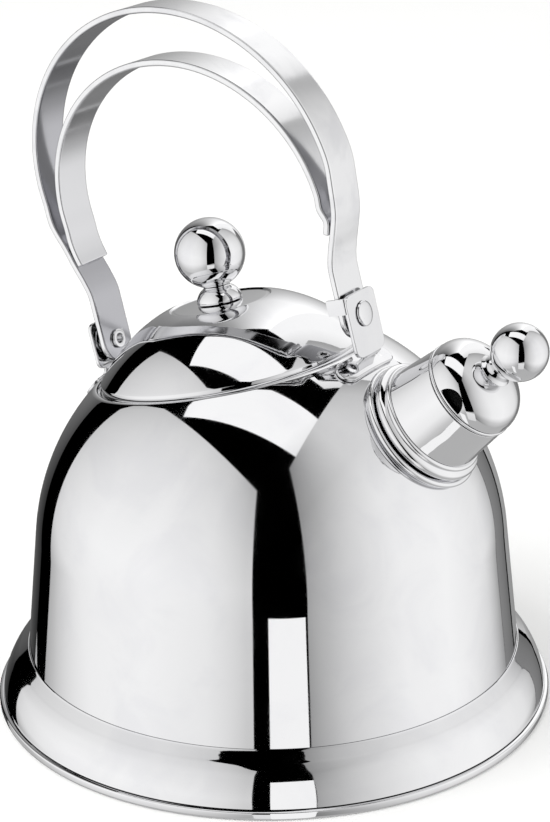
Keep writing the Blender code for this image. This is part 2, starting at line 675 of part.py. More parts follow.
def build_pivot(kettle, steel, place, side, reach):
    """A hollow rivet with a domed head outside, and the washer it holds."""
    outward = HINGE_FRAME @ Matrix.Rotation(side * math.pi / 2, 4, "Y")
    strap_in = reach - STRAP_SHEET / 2.0
    strap_out = reach + STRAP_SHEET / 2.0
    plate_out = strap_out + PLATE_GAP + PLATE_SHEET
    head = 4.9 * MM
    rim = plate_out + GAP
    flare = 3.8 * MM
    bore = 1.9 * MM
    end = strap_in - GAP - 0.9 * MM
    outline = [(0.0, rim + 1.6 * MM), (head * 0.4, rim + 1.5 * MM), (head * 0.75, rim + 1.1 * MM),
               (head, rim + 0.3 * MM), (head, rim), (SHANK_RADIUS, rim), (SHANK_RADIUS, strap_in - GAP),
               (flare, strap_in - GAP), (flare, end + 0.3 * MM), (flare - 0.4 * MM, end),
               (bore + 0.3 * MM, end), (bore, end + 0.4 * MM), (bore, strap_out), (0.0, strap_out)]
    kettle.turned(place + "_rivet", outline, outward, steel, closed=False, steps=SMALL_STEPS)
    washer = ring_outline(HOLE_RADIUS, 5.6 * MM, strap_out + GAP, strap_out + PLATE_GAP - GAP)
    kettle.turned(place + "_washer", washer, outward, steel, steps=SMALL_STEPS)


def build_hinge(kettle, steel):
    rod = hinge_rod(kettle, "hinge_hole_cutter", HOLE_RADIUS)
    build_handle(kettle, steel, rod)
    build_bracket(kettle, steel, rod, "front_bracket", 1.0, LEG_FRONT, -15.0 * MM, 3.8 * MM)
    build_bracket(kettle, steel, rod, "rear_bracket", -1.0, LEG_REAR, -10.0 * MM, -1.5 * MM)
    build_pivot(kettle, steel, "front", 1.0, LEG_FRONT)
    build_pivot(kettle, steel, "rear", -1.0, LEG_REAR)


def shade_parts(kettle):
    for part in kettle.parts.objects:
        part.data.shade_smooth()
        part.data.set_sharp_from_angle(angle=math.radians(35.0))


def main():
    clear_scene()
    kettle = Kettle()
    steel = make_material("polished_steel", STEEL, 1.0, 0.06)
    aluminium = make_material("cast_aluminium", ALUMINIUM, 1.0, 0.45)
    silicone = make_material("black_silicone", SILICONE, 0.0, 0.6)
    build_body(kettle, steel)
    build_base(kettle, steel, aluminium)
    build_spout(kettle, steel)
    build_whistle(kettle, steel, silicone)
    build_lid(kettle, steel)
    build_hinge(kettle, steel)
    shade_parts(kettle)


main()
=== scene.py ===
"""Looks of a stovetop whistling kettle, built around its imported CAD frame.

The scene is in metres. The kettle's sizes below are in millimetres and the
studio's in metres. The origin is the centre of the flat underside and +X points
to the spout. The lid, the spout and the handle each have their own tilted axis,
so each piece is built about the Z axis of its own frame and placed by it.
"""

import logging
import math
from collections.abc import Callable, Sequence
from dataclasses import dataclass, replace
from enum import Enum

import bmesh
import bpy
from mathutils import Matrix, Vector


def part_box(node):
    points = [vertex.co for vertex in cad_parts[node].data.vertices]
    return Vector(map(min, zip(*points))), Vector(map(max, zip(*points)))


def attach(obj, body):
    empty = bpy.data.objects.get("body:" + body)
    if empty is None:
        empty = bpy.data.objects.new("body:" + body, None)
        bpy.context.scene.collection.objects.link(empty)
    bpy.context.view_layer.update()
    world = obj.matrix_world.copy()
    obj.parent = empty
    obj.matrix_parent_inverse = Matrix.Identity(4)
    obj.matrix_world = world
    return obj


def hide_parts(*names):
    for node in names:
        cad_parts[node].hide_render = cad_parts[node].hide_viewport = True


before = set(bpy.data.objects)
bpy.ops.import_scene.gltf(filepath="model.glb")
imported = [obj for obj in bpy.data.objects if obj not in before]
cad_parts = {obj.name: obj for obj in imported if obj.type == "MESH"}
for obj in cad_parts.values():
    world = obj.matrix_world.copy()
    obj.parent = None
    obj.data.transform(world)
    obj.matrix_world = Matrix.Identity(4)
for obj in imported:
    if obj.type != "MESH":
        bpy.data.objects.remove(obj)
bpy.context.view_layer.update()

MM = 0.001
GAP = 0.3                  # clearance left between pieces that touch, mm
FRONT = 33.0               # azimuth the studio and the camera face, degrees
SHARP_ANGLE = 40.0         # edges sharper than this stay crisp when shaded, degrees
FILLET_STEP = 12.0         # largest turn between two points of a fillet, degrees
LONG_STRAIGHT = 2.5        # straights longer than this get a point near each end, mm
SUPPORT_INSET = 0.15       # how far that point is from the end, mm
ON_AXIS = 1e-6             # a smaller radius is a point on the axis, mm
GRAIN_STRETCH = 40.0       # how much slower the polish lines change along a strap than across it

Point = tuple[float, float]
log = logging.getLogger("kettle")


# ---------------------------------------------------------------- frames

def tilted(origin: Sequence[float], tilt: float) -> Matrix:
    """A frame whose Z axis leans from +Z towards +X.

    Args:
        origin: the frame's origin, mm.
        tilt: the lean, degrees.

    Returns:
        The frame as a world matrix in metres.
    """
    place = Matrix.Translation(Vector(origin) * MM)
    return place @ Matrix.Rotation(math.radians(tilt), 4, "Y")


DOME_HEIGHT = 61.5
DOME_RADIUS = 92.6
LID_TILT = 12.8
SPOUT_ELEVATION = 42.4
HINGE_TILT = 14.5
DOME_CENTRE = (0.0, 0.0, DOME_HEIGHT)
HINGE_CENTRE = (-18.6, 0.0, 147.1)

LEVEL = Matrix.Identity(4)
LID_AXIS = tilted(DOME_CENTRE, -LID_TILT)
SPOUT_AXIS = tilted(DOME_CENTRE, 90.0 - SPOUT_ELEVATION)
HINGE = tilted(HINGE_CENTRE, -HINGE_TILT)


# ---------------------------------------------------------------- outlines

def arc(centre: Point, radius: float, start: float, end: float, count: int) -> list[Point]:
    """Points along a circular arc.

    Args:
        centre: the arc's centre.
        radius: its radius.
        start: its first angle, degrees from the first axis.
        end: its last angle, degrees.
        count: the number of steps.

    Returns:
        count + 1 points.
    """
    points = []
    for index in range(count + 1):
        angle = math.radians(start + (end - start) * index / count)
        points.append((centre[0] + radius * math.cos(angle), centre[1] + radius * math.sin(angle)))
    return points


def rounded(corners: Sequence[tuple[float, float, float]], closed: bool = True) -> list[Point]:
    """An outline whose corners are rounded, with extra points where a long straight ends.

    Args:
        corners: (radius, height, fillet) of each corner.
        closed: whether the last corner joins the first.

    Returns:
        The outline's points in order.
    """
    points: list[Point] = []
    count = len(corners)
    for index, (x, y, fillet) in enumerate(corners):
        inner = closed or 0 < index < count - 1
        if fillet <= 0.0 or not inner:
            points.append((x, y))
            continue
        here = Vector((x, y))
        before = Vector(corners[index - 1][:2]) - here
        after = Vector(corners[(index + 1) % count][:2]) - here
        half = before.angle(after) / 2.0
        reach = min(fillet / math.tan(half), 0.48 * before.length, 0.48 * after.length)
        radius = reach * math.tan(half)
        centre = here + (before.normalized() + after.normalized()).normalized() * (radius / math.sin(half))
        first = here + before.normalized() * reach - centre
        last = here + after.normalized() * reach - centre
        start = math.degrees(math.atan2(first.y, first.x))
        turn = math.remainder(math.degrees(math.atan2(last.y, last.x)) - start, 360.0)
        steps = max(3, math.ceil(abs(turn) / FILLET_STEP))
        points += arc(tuple(centre), radius, start, start + turn, steps)
    return supported(points, closed)


def supported(points: Sequence[Point], closed: bool) -> list[Point]:
    """Adds a point near each end of every long straight, which keeps it flat when shaded.

    Args:
        points: the outline.
        closed: whether the last point joins the first.

    Returns:
        The outline with the added points.
    """
    result: list[Point] = []
    count = len(points)
    for index, point in enumerate(points):
        result.append(point)
        if index == count - 1 and not closed:
            break
        here, after = Vector(point), Vector(points[(index + 1) % count])
        along = after - here
        if along.length > LONG_STRAIGHT:
            result.append(tuple(here + along.normalized() * SUPPORT_INSET))
            result.append(tuple(after - along.normalized() * SUPPORT_INSET))
    return result


def smooth(points: Sequence[Point], count: int) -> list[Point]:
    """A Catmull-Rom line through the points.

    Args:
        points: the points to pass through.
        count: the number of steps to a span.

    Returns:
        The line's points, first and last included.
    """
    padded = [points[0], *points, points[-1]]
    line: list[Point] = []
    for index in range(1, len(padded) - 2):
        p0, p1, p2, p3 = (Vector(padded[index + shift]) for shift in (-1, 0, 1, 2))
        for step in range(count):
            t = step / count
            line.append(tuple(0.5 * (2 * p1 + (p2 - p0) * t + (2 * p0 - 5 * p1 + 4 * p2 - p3) * t ** 2
                                     + (3 * p1 - p0 - 3 * p2 + p3) * t ** 3)))
    line.append(tuple(points[-1]))
    return line


def beside(points: Sequence[Point], distance: float) -> list[Point]:
    """An open line moved sideways.

    Args:
        points: the line.
        distance: how far to the right of its own direction, mm.

    Returns:
        One moved point to a point.
    """
    moved = []
    for index, point in enumerate(points):
        along = Vector(points[min(index + 1, len(points) - 1)]) - Vector(points[max(index - 1, 0)])
        along.normalize()
        moved.append((point[0] + along.y * distance, point[1] - along.x * distance))
    return moved


def plain(points: Sequence[Point]) -> list[tuple[float, float, float]]:
    """The points as corners with no rounding."""
    return [(x, y, 0.0) for x, y in points]


def sheet(outer: Sequence[Point], thickness: float, edge: float = 0.25) -> list[Point]:
    """The closed section of a piece of sheet metal with rounded edges.

    Args:
        outer: its outer side, from top to bottom.
        thickness: the sheet's thickness, mm.
        edge: the fillet of its edges, mm.

    Returns:
        The section as a closed outline.
    """
    inner = beside(outer, thickness)
    corners = [(*outer[0], edge), *plain(outer[1:-1]), (*outer[-1], edge), (*inner[-1], edge),
               *plain(list(reversed(inner[1:-1]))), (*inner[0], edge)]
    return rounded(corners)


# ---------------------------------------------------------------- meshes

def finish_mesh(name: str, shape: bmesh.types.BMesh, place: Matrix) -> bpy.types.Object:
    """Turns a bmesh in millimetres into a shaded object in world axes.

    Args:
        name: the piece's name.
        shape: its mesh, which is freed.
        place: the frame its points are in.

    Returns:
        The new object.
    """
    bmesh.ops.recalc_face_normals(shape, faces=shape.faces)
    bmesh.ops.scale(shape, verts=shape.verts, vec=(MM, MM, MM))
    mesh = bpy.data.meshes.new(name)
    shape.to_mesh(mesh)
    shape.free()
    mesh.transform(place)
    mesh.shade_smooth()
    mesh.set_sharp_from_angle(angle=math.radians(SHARP_ANGLE))
    piece = bpy.data.objects.new(name, mesh)
    bpy.context.scene.collection.objects.link(piece)
    return piece


def lathe(name: str, outline: Sequence[Point], place: Matrix, steps: int = 96,
          closed: bool = True) -> bpy.types.Object:
    """A turned piece. Its grain runs round its axis.

    Args:
        name: the piece's name.
        outline: (radius, height) points; an open outline starts and ends on the axis.
        place: the frame whose Z axis is the piece's axis.
        steps: points round the axis.
        closed: whether the outline is a closed loop.

    Returns:
        The new object.
    """
    shape = bmesh.new()
    grain = shape.verts.layers.float_vector.new("grain")
    rings: list[list[bmesh.types.BMVert]] = []
    length = 0.0
    for index, (radius, height) in enumerate(outline):
        if index:
            length += math.dist(outline[index - 1], (radius, height))
        count = 1 if radius < ON_AXIS else steps
        ring = []
        for step in range(count):
            turn = 2.0 * math.pi * step / steps
            vert = shape.verts.new((radius * math.cos(turn), radius * math.sin(turn), height))
            vert[grain] = Vector((length, math.cos(turn), math.sin(turn)))
            ring.append(vert)
        rings.append(ring)
    pairs = list(zip(rings, rings[1:]))
    if closed:
        pairs.append((rings[-1], rings[0]))
    for low, high in pairs:
        join_rings(shape, low, high)
    return finish_mesh(name, shape, place)


def join_rings(shape: bmesh.types.BMesh, first: list[bmesh.types.BMVert],
               second: list[bmesh.types.BMVert]) -> None:
    """Adds the faces between two rings, either of which may be a single point.

    Args:
        shape: the mesh both rings are in.
        first: one ring.
        second: the ring it is joined to.
    """
    count = max(len(first), len(second))
    for step in range(count):
        after = (step + 1) % count
        corners = [first[step % len(first)], first[after % len(first)], second[after % len(second)],
                   second[step % len(second)]]
        shape.faces.new(list(dict.fromkeys(corners)))


def cut(piece: bpy.types.Object, cutter: bpy.types.Object) -> None:
    """Cuts one object out of another for good and removes the cutter.

    Args:
        piece: the object that is cut.
        cutter: the object that is taken out of it.
    """
    modifier = piece.modifiers.new("cut", "BOOLEAN")
    modifier.operation = "DIFFERENCE"
    modifier.object = cutter
    modifier.solver = "EXACT"
    bpy.context.view_layer.update()
    solid = piece.evaluated_get(bpy.context.evaluated_depsgraph_get())
    mesh = bpy.data.meshes.new_from_object(solid)
    piece.modifiers.clear()
    piece.data = mesh
    mesh.set_sharp_from_angle(angle=math.radians(SHARP_ANGLE))
    bpy.data.objects.remove(cutter, do_unlink=True)


@dataclass(frozen=True)
class Station:
    """One cross-section of a strip of sheet metal."""

    centre: Vector
    normal: Vector
    half_width: float
    half_sheet: float
    length: float


def strip_section(station: Station, edge: float) -> list[Point]:
    """A strip's cross-section.

    Args:
        station: where and how large it is.
        edge: the radius of its rounded edges, mm.

    Returns:
        Its (across, through) points.
    """
    half_width, half_sheet = station.half_width, station.half_sheet
    radius = min(edge, 0.95 * half_sheet, 0.95 * half_width)
    section: list[Point] = []
    for x_sign, y_sign, start in ((1, -1, -90.0), (1, 1, 0.0), (-1, 1, 90.0), (-1, -1, 180.0)):
        centre = (x_sign * (half_width - radius), y_sign * (half_sheet - radius))
        section += arc(centre, radius, start, start + 90.0, 4)
        if y_sign == x_sign:
            for share in (0.96, 0.6, 0.2, -0.2, -0.6, -0.96):
                section.append((x_sign * share * (half_width - radius), y_sign * half_sheet))
    return section


def dense_section(station: Station, edge: float) -> list[Point]:
    """A strip's cross-section with many points across, for a strip that is bent or dented.

    Args:
        station: where and how large it is.
        edge: the radius of its rounded edges, mm.

    Returns:
        Its (across, through) points.
    """
    spans = 48
    radius = min(edge, 0.95 * station.half_sheet)
    half, through = station.half_width - radius, station.half_sheet
    face = [half * (1.0 - 2.0 * index / spans) for index in range(1, spans)]
    return (arc((half, radius - through), radius, -90.0, 0.0, 3)
            + arc((half, through - radius), radius, 0.0, 90.0, 3)
            + [(x, through) for x in face]
            + arc((-half, through - radius), radius, 90.0, 180.0, 3)
            + arc((-half, radius - through), radius, 180.0, 270.0, 3)
            + [(-x, -through) for x in face])


def strip(name: str, stations: Sequence[Station], edge: float,
          section: Callable[[Station, float], list[Point]] = strip_section,
          bend: Callable[[Vector, Station, float], Vector] | None = None) -> bpy.types.Object:
    """A strip of sheet metal swept through its stations, in the hinge's frame.

    Its grain runs along it. On a straight strip the grain's third value tells
    the inner face, -1, from the outer face, 1; on a bent one it is 0.

    Args:
        name: the piece's name.
        stations: its cross-sections in order.
        edge: the radius of its rounded edges, mm.
        section: gives a station's points.
        bend: moves each point once it is placed, given the point, its station and its place across.

    Returns:
        The new object.
    """
    shape = bmesh.new()
    grain = shape.verts.layers.float_vector.new("grain")
    rings = []
    for station in stations:
        ring = []
        for across, through in section(station, edge):
            point = station.centre + station.normal * through
            point = bend(point, station, across) if bend else point + Vector((0.0, across, 0.0))
            # The third grain value marks a strap's inner face, which the strap finishes paint darker as
            # shade
            depth = 0.0 if bend else through / station.half_sheet
            vert = shape.verts.new(point)
            vert[grain] = Vector((across, station.length / GRAIN_STRETCH, depth))
            ring.append(vert)
        rings.append(ring)
    close_rings(shape, rings)
    return finish_mesh(name, shape, HINGE)


def close_rings(shape: bmesh.types.BMesh, rings: Sequence[list[bmesh.types.BMVert]]) -> None:
    """Joins rings in order and closes the first and the last.

    Args:
        shape: the mesh the rings are in.
        rings: the rings.
    """
    for low, high in zip(rings, rings[1:]):
        join_rings(shape, low, high)
    shape.faces.new(rings[0])
    shape.faces.new(rings[-1])


def drill(piece: bpy.types.Object, radius: float, name: str) -> None:
    """Drills a piece along the hinge's axis.

    Args:
        piece: the piece.
        radius: the hole's radius, mm.
        name: the cutter's name.
    """
    reach = 90.0
    rod = HINGE @ Matrix.Rotation(math.pi / 2, 4, "Y")
    cut(piece, lathe(name, [(0.0, reach), (radius, reach), (radius, -reach), (0.0, -reach)], rod, 48,
                     closed=False))


def stations_along(line: Sequence[Point], half_sheet: float, half_width: float) -> list[Station]:
    """Stations square to a line in the frame's XZ plane.

    Args:
        line: (x, z) points.
        half_sheet: half the sheet's thickness, mm.
        half_width: half the strip's width, mm.

    Returns:
        One station to a point.
    """
    stations = []
    length = 0.0
    for index, point in enumerate(line):
        if index:
            length += math.dist(line[index - 1], point)
        along = Vector(line[min(index + 1, len(line) - 1)]) - Vector(line[max(index - 1, 0)])
        along.normalize()
        stations.append(Station(Vector((point[0], 0.0, point[1])), Vector((along.y, 0.0, -along.x)),
                                half_width, half_sheet, length))
    return stations


# ---------------------------------------------------------------- finishes

def linear(code: str) -> tuple[float, float, float, float]:
    """Turns a colour as the eye reads it into light.

    Args:
        code: an sRGB hex code such as 'C8C8C4'.

    Returns:
        The linear colour with full alpha.
    """
    channels = [int(code[start:start + 2], 16) / 255.0 for start in (0, 2, 4)]
    light = [c / 12.92 if c <= 0.04045 else ((c + 0.055) / 1.055) ** 2.4 for c in channels]
    return (light[0], light[1], light[2], 1.0)


def add_node(tree: bpy.types.NodeTree, kind: str, settings: dict[str, object] | None = None,
             inputs: dict[str | int, object] | None = None) -> bpy.types.Node:
    """Adds a node, sets its properties, and fills or links its inputs.

    Args:
        tree: the node tree.
        kind: the node's type name.
        settings: property values by name.
        inputs: by input name or number, a value or another node's output socket.

    Returns:
        The new node.
    """
    made = tree.nodes.new(kind)
    for name, value in (settings or {}).items():
        setattr(made, name, value)
    for name, value in (inputs or {}).items():
        if isinstance(value, bpy.types.NodeSocket):
            tree.links.new(value, made.inputs[name])
        else:
            made.inputs[name].default_value = value
    return made


class Slot(Enum):
    """The record's material slots."""

    STEEL = "polished_steel"
    ALUMINIUM = "cast_aluminium"
    SILICONE = "black_silicone"


@dataclass(frozen=True)
class BuffedSteel:
    """18/10 stainless steel, buffed to a mirror on a wheel.

    The eye sees a sharp reflection that the last fine buffing lines stretch a
    little, with faint wiping haze that shows only where it dulls a highlight.
    The real lines are a few microns apart; they are drawn coarser so that they
    show at all.
    """

    name: str
    colour: str = "E9E9EA"
    haze_colour: str = "E4E4E6"
    roughness: float = 0.03
    haze: float = 0.03
    line_spacing_mm: float = 0.35
    line_depth_mm: float = 0.00035
    haze_size_mm: float = 28.0
    # inner_shade_colour: painted shade, a darker colour for a strap's inner face where the two straps shade
    # each other
    inner_shade_colour: str = ""
    slot: Slot = Slot.STEEL

    def material(self) -> bpy.types.Material:
        """Builds the node material, or finds it if it is already made.

        Returns:
            The material.
        """
        made = bpy.data.materials.get(self.name)
        if made is not None:
            return made
        made = bpy.data.materials.new(self.name)
        made.use_nodes = True
        tree = made.node_tree
        shader = tree.nodes["Principled BSDF"]
        grain = add_node(tree, "ShaderNodeAttribute", {"attribute_name": "grain"})
        place = add_node(tree, "ShaderNodeTexCoord")
        stretch = add_node(tree, "ShaderNodeMapping",
                           inputs={"Vector": grain.outputs["Vector"],
                                   "Scale": (1.0 / self.line_spacing_mm, 2.2, 2.2)})
        lines = add_node(tree, "ShaderNodeTexNoise",
                         inputs={"Vector": stretch.outputs["Vector"], "Scale": 1.0, "Detail": 3.0,
                                 "Roughness": 0.6})
        wiped = add_node(tree, "ShaderNodeTexNoise",
                         inputs={"Vector": place.outputs["Object"],
                                 "Scale": 1.0 / (self.haze_size_mm * MM), "Detail": 4.0,
                                 "Roughness": 0.55, "Distortion": 0.6})
        cloud = add_node(tree, "ShaderNodeMapRange", {"interpolation_type": "SMOOTHSTEP"},
                         {"Value": wiped.outputs["Fac"], "From Min": 0.42, "From Max": 0.72})
        scratch = add_node(tree, "ShaderNodeMapRange", {},
                           {"Value": lines.outputs["Fac"], "From Min": 0.55, "From Max": 0.8})
        dulled = add_node(tree, "ShaderNodeMath", {"operation": "MULTIPLY_ADD"},
                          {0: cloud.outputs["Result"], 1: self.haze, 2: self.roughness})
        rough = add_node(tree, "ShaderNodeMath", {"operation": "MULTIPLY_ADD"},
                         {0: scratch.outputs["Result"], 1: self.haze * 0.5, 2: dulled.outputs["Value"]})
        tint = add_node(tree, "ShaderNodeMix", {"data_type": "RGBA"},
                        {0: cloud.outputs["Result"], 6: linear(self.colour), 7: linear(self.haze_colour)})
        bump = add_node(tree, "ShaderNodeBump", {},
                        {"Height": lines.outputs["Fac"], "Strength": 1.0,
                         "Distance": self.line_depth_mm * MM})
        colour = tint.outputs[2]
        # Painted shade: where the grain's third value runs from -0.5 to -1, on a strap's inner face, the
        # colour is mixed towards the inner shade colour
        if self.inner_shade_colour:
            parts = add_node(tree, "ShaderNodeSeparateXYZ", inputs={"Vector": grain.outputs["Vector"]})
            inside = add_node(tree, "ShaderNodeMapRange", {},
                              {"Value": parts.outputs["Z"], "From Min": -0.5, "From Max": -1.0})
            colour = add_node(tree, "ShaderNodeMix", {"data_type": "RGBA"},
                              {0: inside.outputs["Result"], 6: colour,
                               7: linear(self.inner_shade_colour)}).outputs[2]
        tree.links.new(colour, shader.inputs["Base Color"])
        tree.links.new(rough.outputs["Value"], shader.inputs["Roughness"])
        tree.links.new(bump.outputs["Normal"], shader.inputs["Normal"])
        shader.inputs["Metallic"].default_value = 1.0
        return made


@dataclass(frozen=True)
class Cast:
    """A cast or moulded surface with a fine even grain.

    The eye sees a soft, slightly mottled sheen: die-cast aluminium keeps the
    grain of its die, and moulded silicone is matt with a faint bloom.
    """

    name: str
    colour: str
    light_colour: str
    metallic: float
    roughness: float
    grain_mm: float
    depth_mm: float
    slot: Slot

    def material(self) -> bpy.types.Material:
        """Builds the node material, or finds it if it is already made.

        Returns:
            The material.
        """
        made = bpy.data.materials.get(self.name)
        if made is not None:
            return made
        made = bpy.data.materials.new(self.name)
        made.use_nodes = True
        tree = made.node_tree
        shader = tree.nodes["Principled BSDF"]
        place = add_node(tree, "ShaderNodeTexCoord")
        fine = add_node(tree, "ShaderNodeTexNoise",
                        inputs={"Vector": place.outputs["Object"], "Scale": 1.0 / (self.grain_mm * MM),
                                "Detail": 4.0, "Roughness": 0.6})
        broad = add_node(tree, "ShaderNodeTexNoise",
                         inputs={"Vector": place.outputs["Object"],
                                 "Scale": 0.05 / (self.grain_mm * MM), "Detail": 3.0})
        tint = add_node(tree, "ShaderNodeMix", {"data_type": "RGBA"},
                        {0: broad.outputs["Fac"], 6: linear(self.colour), 7: linear(self.light_colour)})
        rough = add_node(tree, "ShaderNodeMath", {"operation": "MULTIPLY_ADD"},
                         {0: fine.outputs["Fac"], 1: 0.18, 2: self.roughness - 0.09})
        bump = add_node(tree, "ShaderNodeBump", {},
                        {"Height": fine.outputs["Fac"], "Strength": 0.6, "Distance": self.depth_mm * MM})
        tree.links.new(tint.outputs[2], shader.inputs["Base Color"])
        tree.links.new(rough.outputs["Value"], shader.inputs["Roughness"])
        tree.links.new(bump.outputs["Normal"], shader.inputs["Normal"])
        shader.inputs["Metallic"].default_value = self.metallic
        return made


Finish = BuffedSteel | Cast

SPUN_STEEL = BuffedSteel("spun_stainless_buffed")
PRESSED_STEEL = BuffedSteel("pressed_stainless_buffed", roughness=0.045, haze=0.06)
# Both strap finishes paint shade on their inner faces with the inner shade colour, darker on the outer
# strap, which the inner strap shades
STRAP_STEEL = BuffedSteel("strap_stainless_satin", colour="ECECED", haze_colour="E2E2E4", roughness=0.11,
                          haze=0.05, line_spacing_mm=0.5, line_depth_mm=0.0012, haze_size_mm=18.0,
                          inner_shade_colour="BCBCC0")
LINER_STEEL = replace(STRAP_STEEL, name="liner_stainless_satin", inner_shade_colour="DEDEE0")
BALL_STEEL = BuffedSteel("ball_stainless_mirror", roughness=0.02, haze=0.025, line_depth_mm=0.0001,
                         haze_size_mm=12.0)
INNER_STEEL = BuffedSteel("drawn_stainless_inside", colour="CFCFCE", haze_colour="BDBDBB", roughness=0.2,
                          haze=0.12, line_depth_mm=0.003)
# Painted shade: a near-black colour on the parts inside the whistle cap, standing for the shade in there
# where little light reaches
WHISTLE_SHADE_STEEL = BuffedSteel("stainless_painted_whistle_shade", colour="3A3A3A", haze_colour="2C2C2C", roughness=0.5,
                           haze=0.15, line_depth_mm=0.003)
DIE_CAST = Cast("die_cast_aluminium", "9EA0A2", "B7B9BA", 1.0, 0.45, 0.6, 0.03, Slot.ALUMINIUM)
SILICONE = Cast("moulded_black_silicone", "1B1B1D", "29292B", 0.0, 0.6, 0.25, 0.01, Slot.SILICONE)


# ---------------------------------------------------------------- assemblies

@dataclass
class Assembly:
    """Pieces that belong together; each replaces the CAD node of its own name."""

    body: str = "body"

    def dress(self, piece: bpy.types.Object, finish: Finish, node: str) -> None:
        """Gives a piece its finish and body and puts it in place of its CAD node.

        Args:
            piece: the finished piece.
            finish: its material.
            node: the CAD node it stands for.
        """
        piece.data.materials.clear()
        piece.data.materials.append(finish.material())
        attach(piece, self.body)
        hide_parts(node)
        low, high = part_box(node)
        size = (high - low) / MM
        log.info("%s stands for %s, %.1f x %.1f x %.1f mm", piece.name, node, *size)


@dataclass
class Base(Assembly):
    """The flared skirt and the capsule base with its heat-spreading disc."""

    radius: float = 110.0
    rim: float = 3.5
    skirt_top: float = 22.3
    sheet: float = 0.8
    floor_low: float = 4.4
    floor_top: float = 5.6
    disc_radius: float = 96.0
    disc_low: float = 1.1
    disc_top: float = 4.1

    def build(self, wall: "Body") -> None:
        """Builds the skirt, the floor of the vessel, the disc and the pan.

        Args:
            wall: the body, whose wall the skirt fits round.
        """
        top = wall.wall_radius(self.skirt_top) + GAP
        foot = self.radius - 1.7
        low = self.rim + GAP
        fall = smooth([(top + 0.15, self.skirt_top), (top + 0.42, 21.9), (top + 1.3, 21.0),
                       (top + 2.25, 20.05), (top + 3.2, 19.1), (top + 4.3, 18.0), (foot - 4.8, 16.0),
                       (foot - 3.55, 14.0), (foot - 2.5, 12.0), (foot - 1.62, 10.0), (foot - 0.92, 8.0),
                       (foot - 0.38, 6.0), (foot, low)], 5)
        under = [(radius, height) for radius, height in beside(fall, self.sheet) if height < 20.0]
        under[-1] = (foot - self.sheet, low)
        hem = [(wall.wall_radius(height) + 0.5 * GAP, height) for height in (self.skirt_top, 21.2, 20.4)]
        skirt = lathe("skirt", hem[:1] + fall + list(reversed(under)) + list(reversed(hem[1:])), LEVEL, 240)
        self.dress(skirt, SPUN_STEEL, "base_skirt")
        floor_radius = wall.wall_radius(self.floor_low) - wall.wall - GAP
        floor = rounded([(0.0, self.floor_top, 0.0), (floor_radius, self.floor_top, 0.2),
                         (floor_radius, self.floor_low, 0.2), (0.0, self.floor_low, 0.0)], closed=False)
        self.dress(lathe("inner_floor", floor, LEVEL, 160, closed=False), INNER_STEEL, "vessel_floor")
        disc = rounded([(0.0, self.disc_top, 0.0), (self.disc_radius, self.disc_top, 0.5),
                        (self.disc_radius, self.disc_low, 0.5), (0.0, self.disc_low, 0.0)], closed=False)
        self.dress(lathe("spreader_disc", disc, LEVEL, 160, closed=False), DIE_CAST, "heat_disc")
        inner = self.radius - 3.8
        pan = rounded([(0.0, 0.8, 0.0), (inner - 0.6, 0.8, 0.4), (inner + 0.2, 3.3, 0.4),
                       (self.radius - 1.2, self.rim, 0.1), (self.radius, self.rim - 0.2, 1.2),
                       (self.radius, 0.0, 1.2), (0.0, 0.0, 0.0)], closed=False)
        self.dress(lathe("base_pan", pan, LEVEL, 240, closed=False), SPUN_STEEL, "capsule_pan")


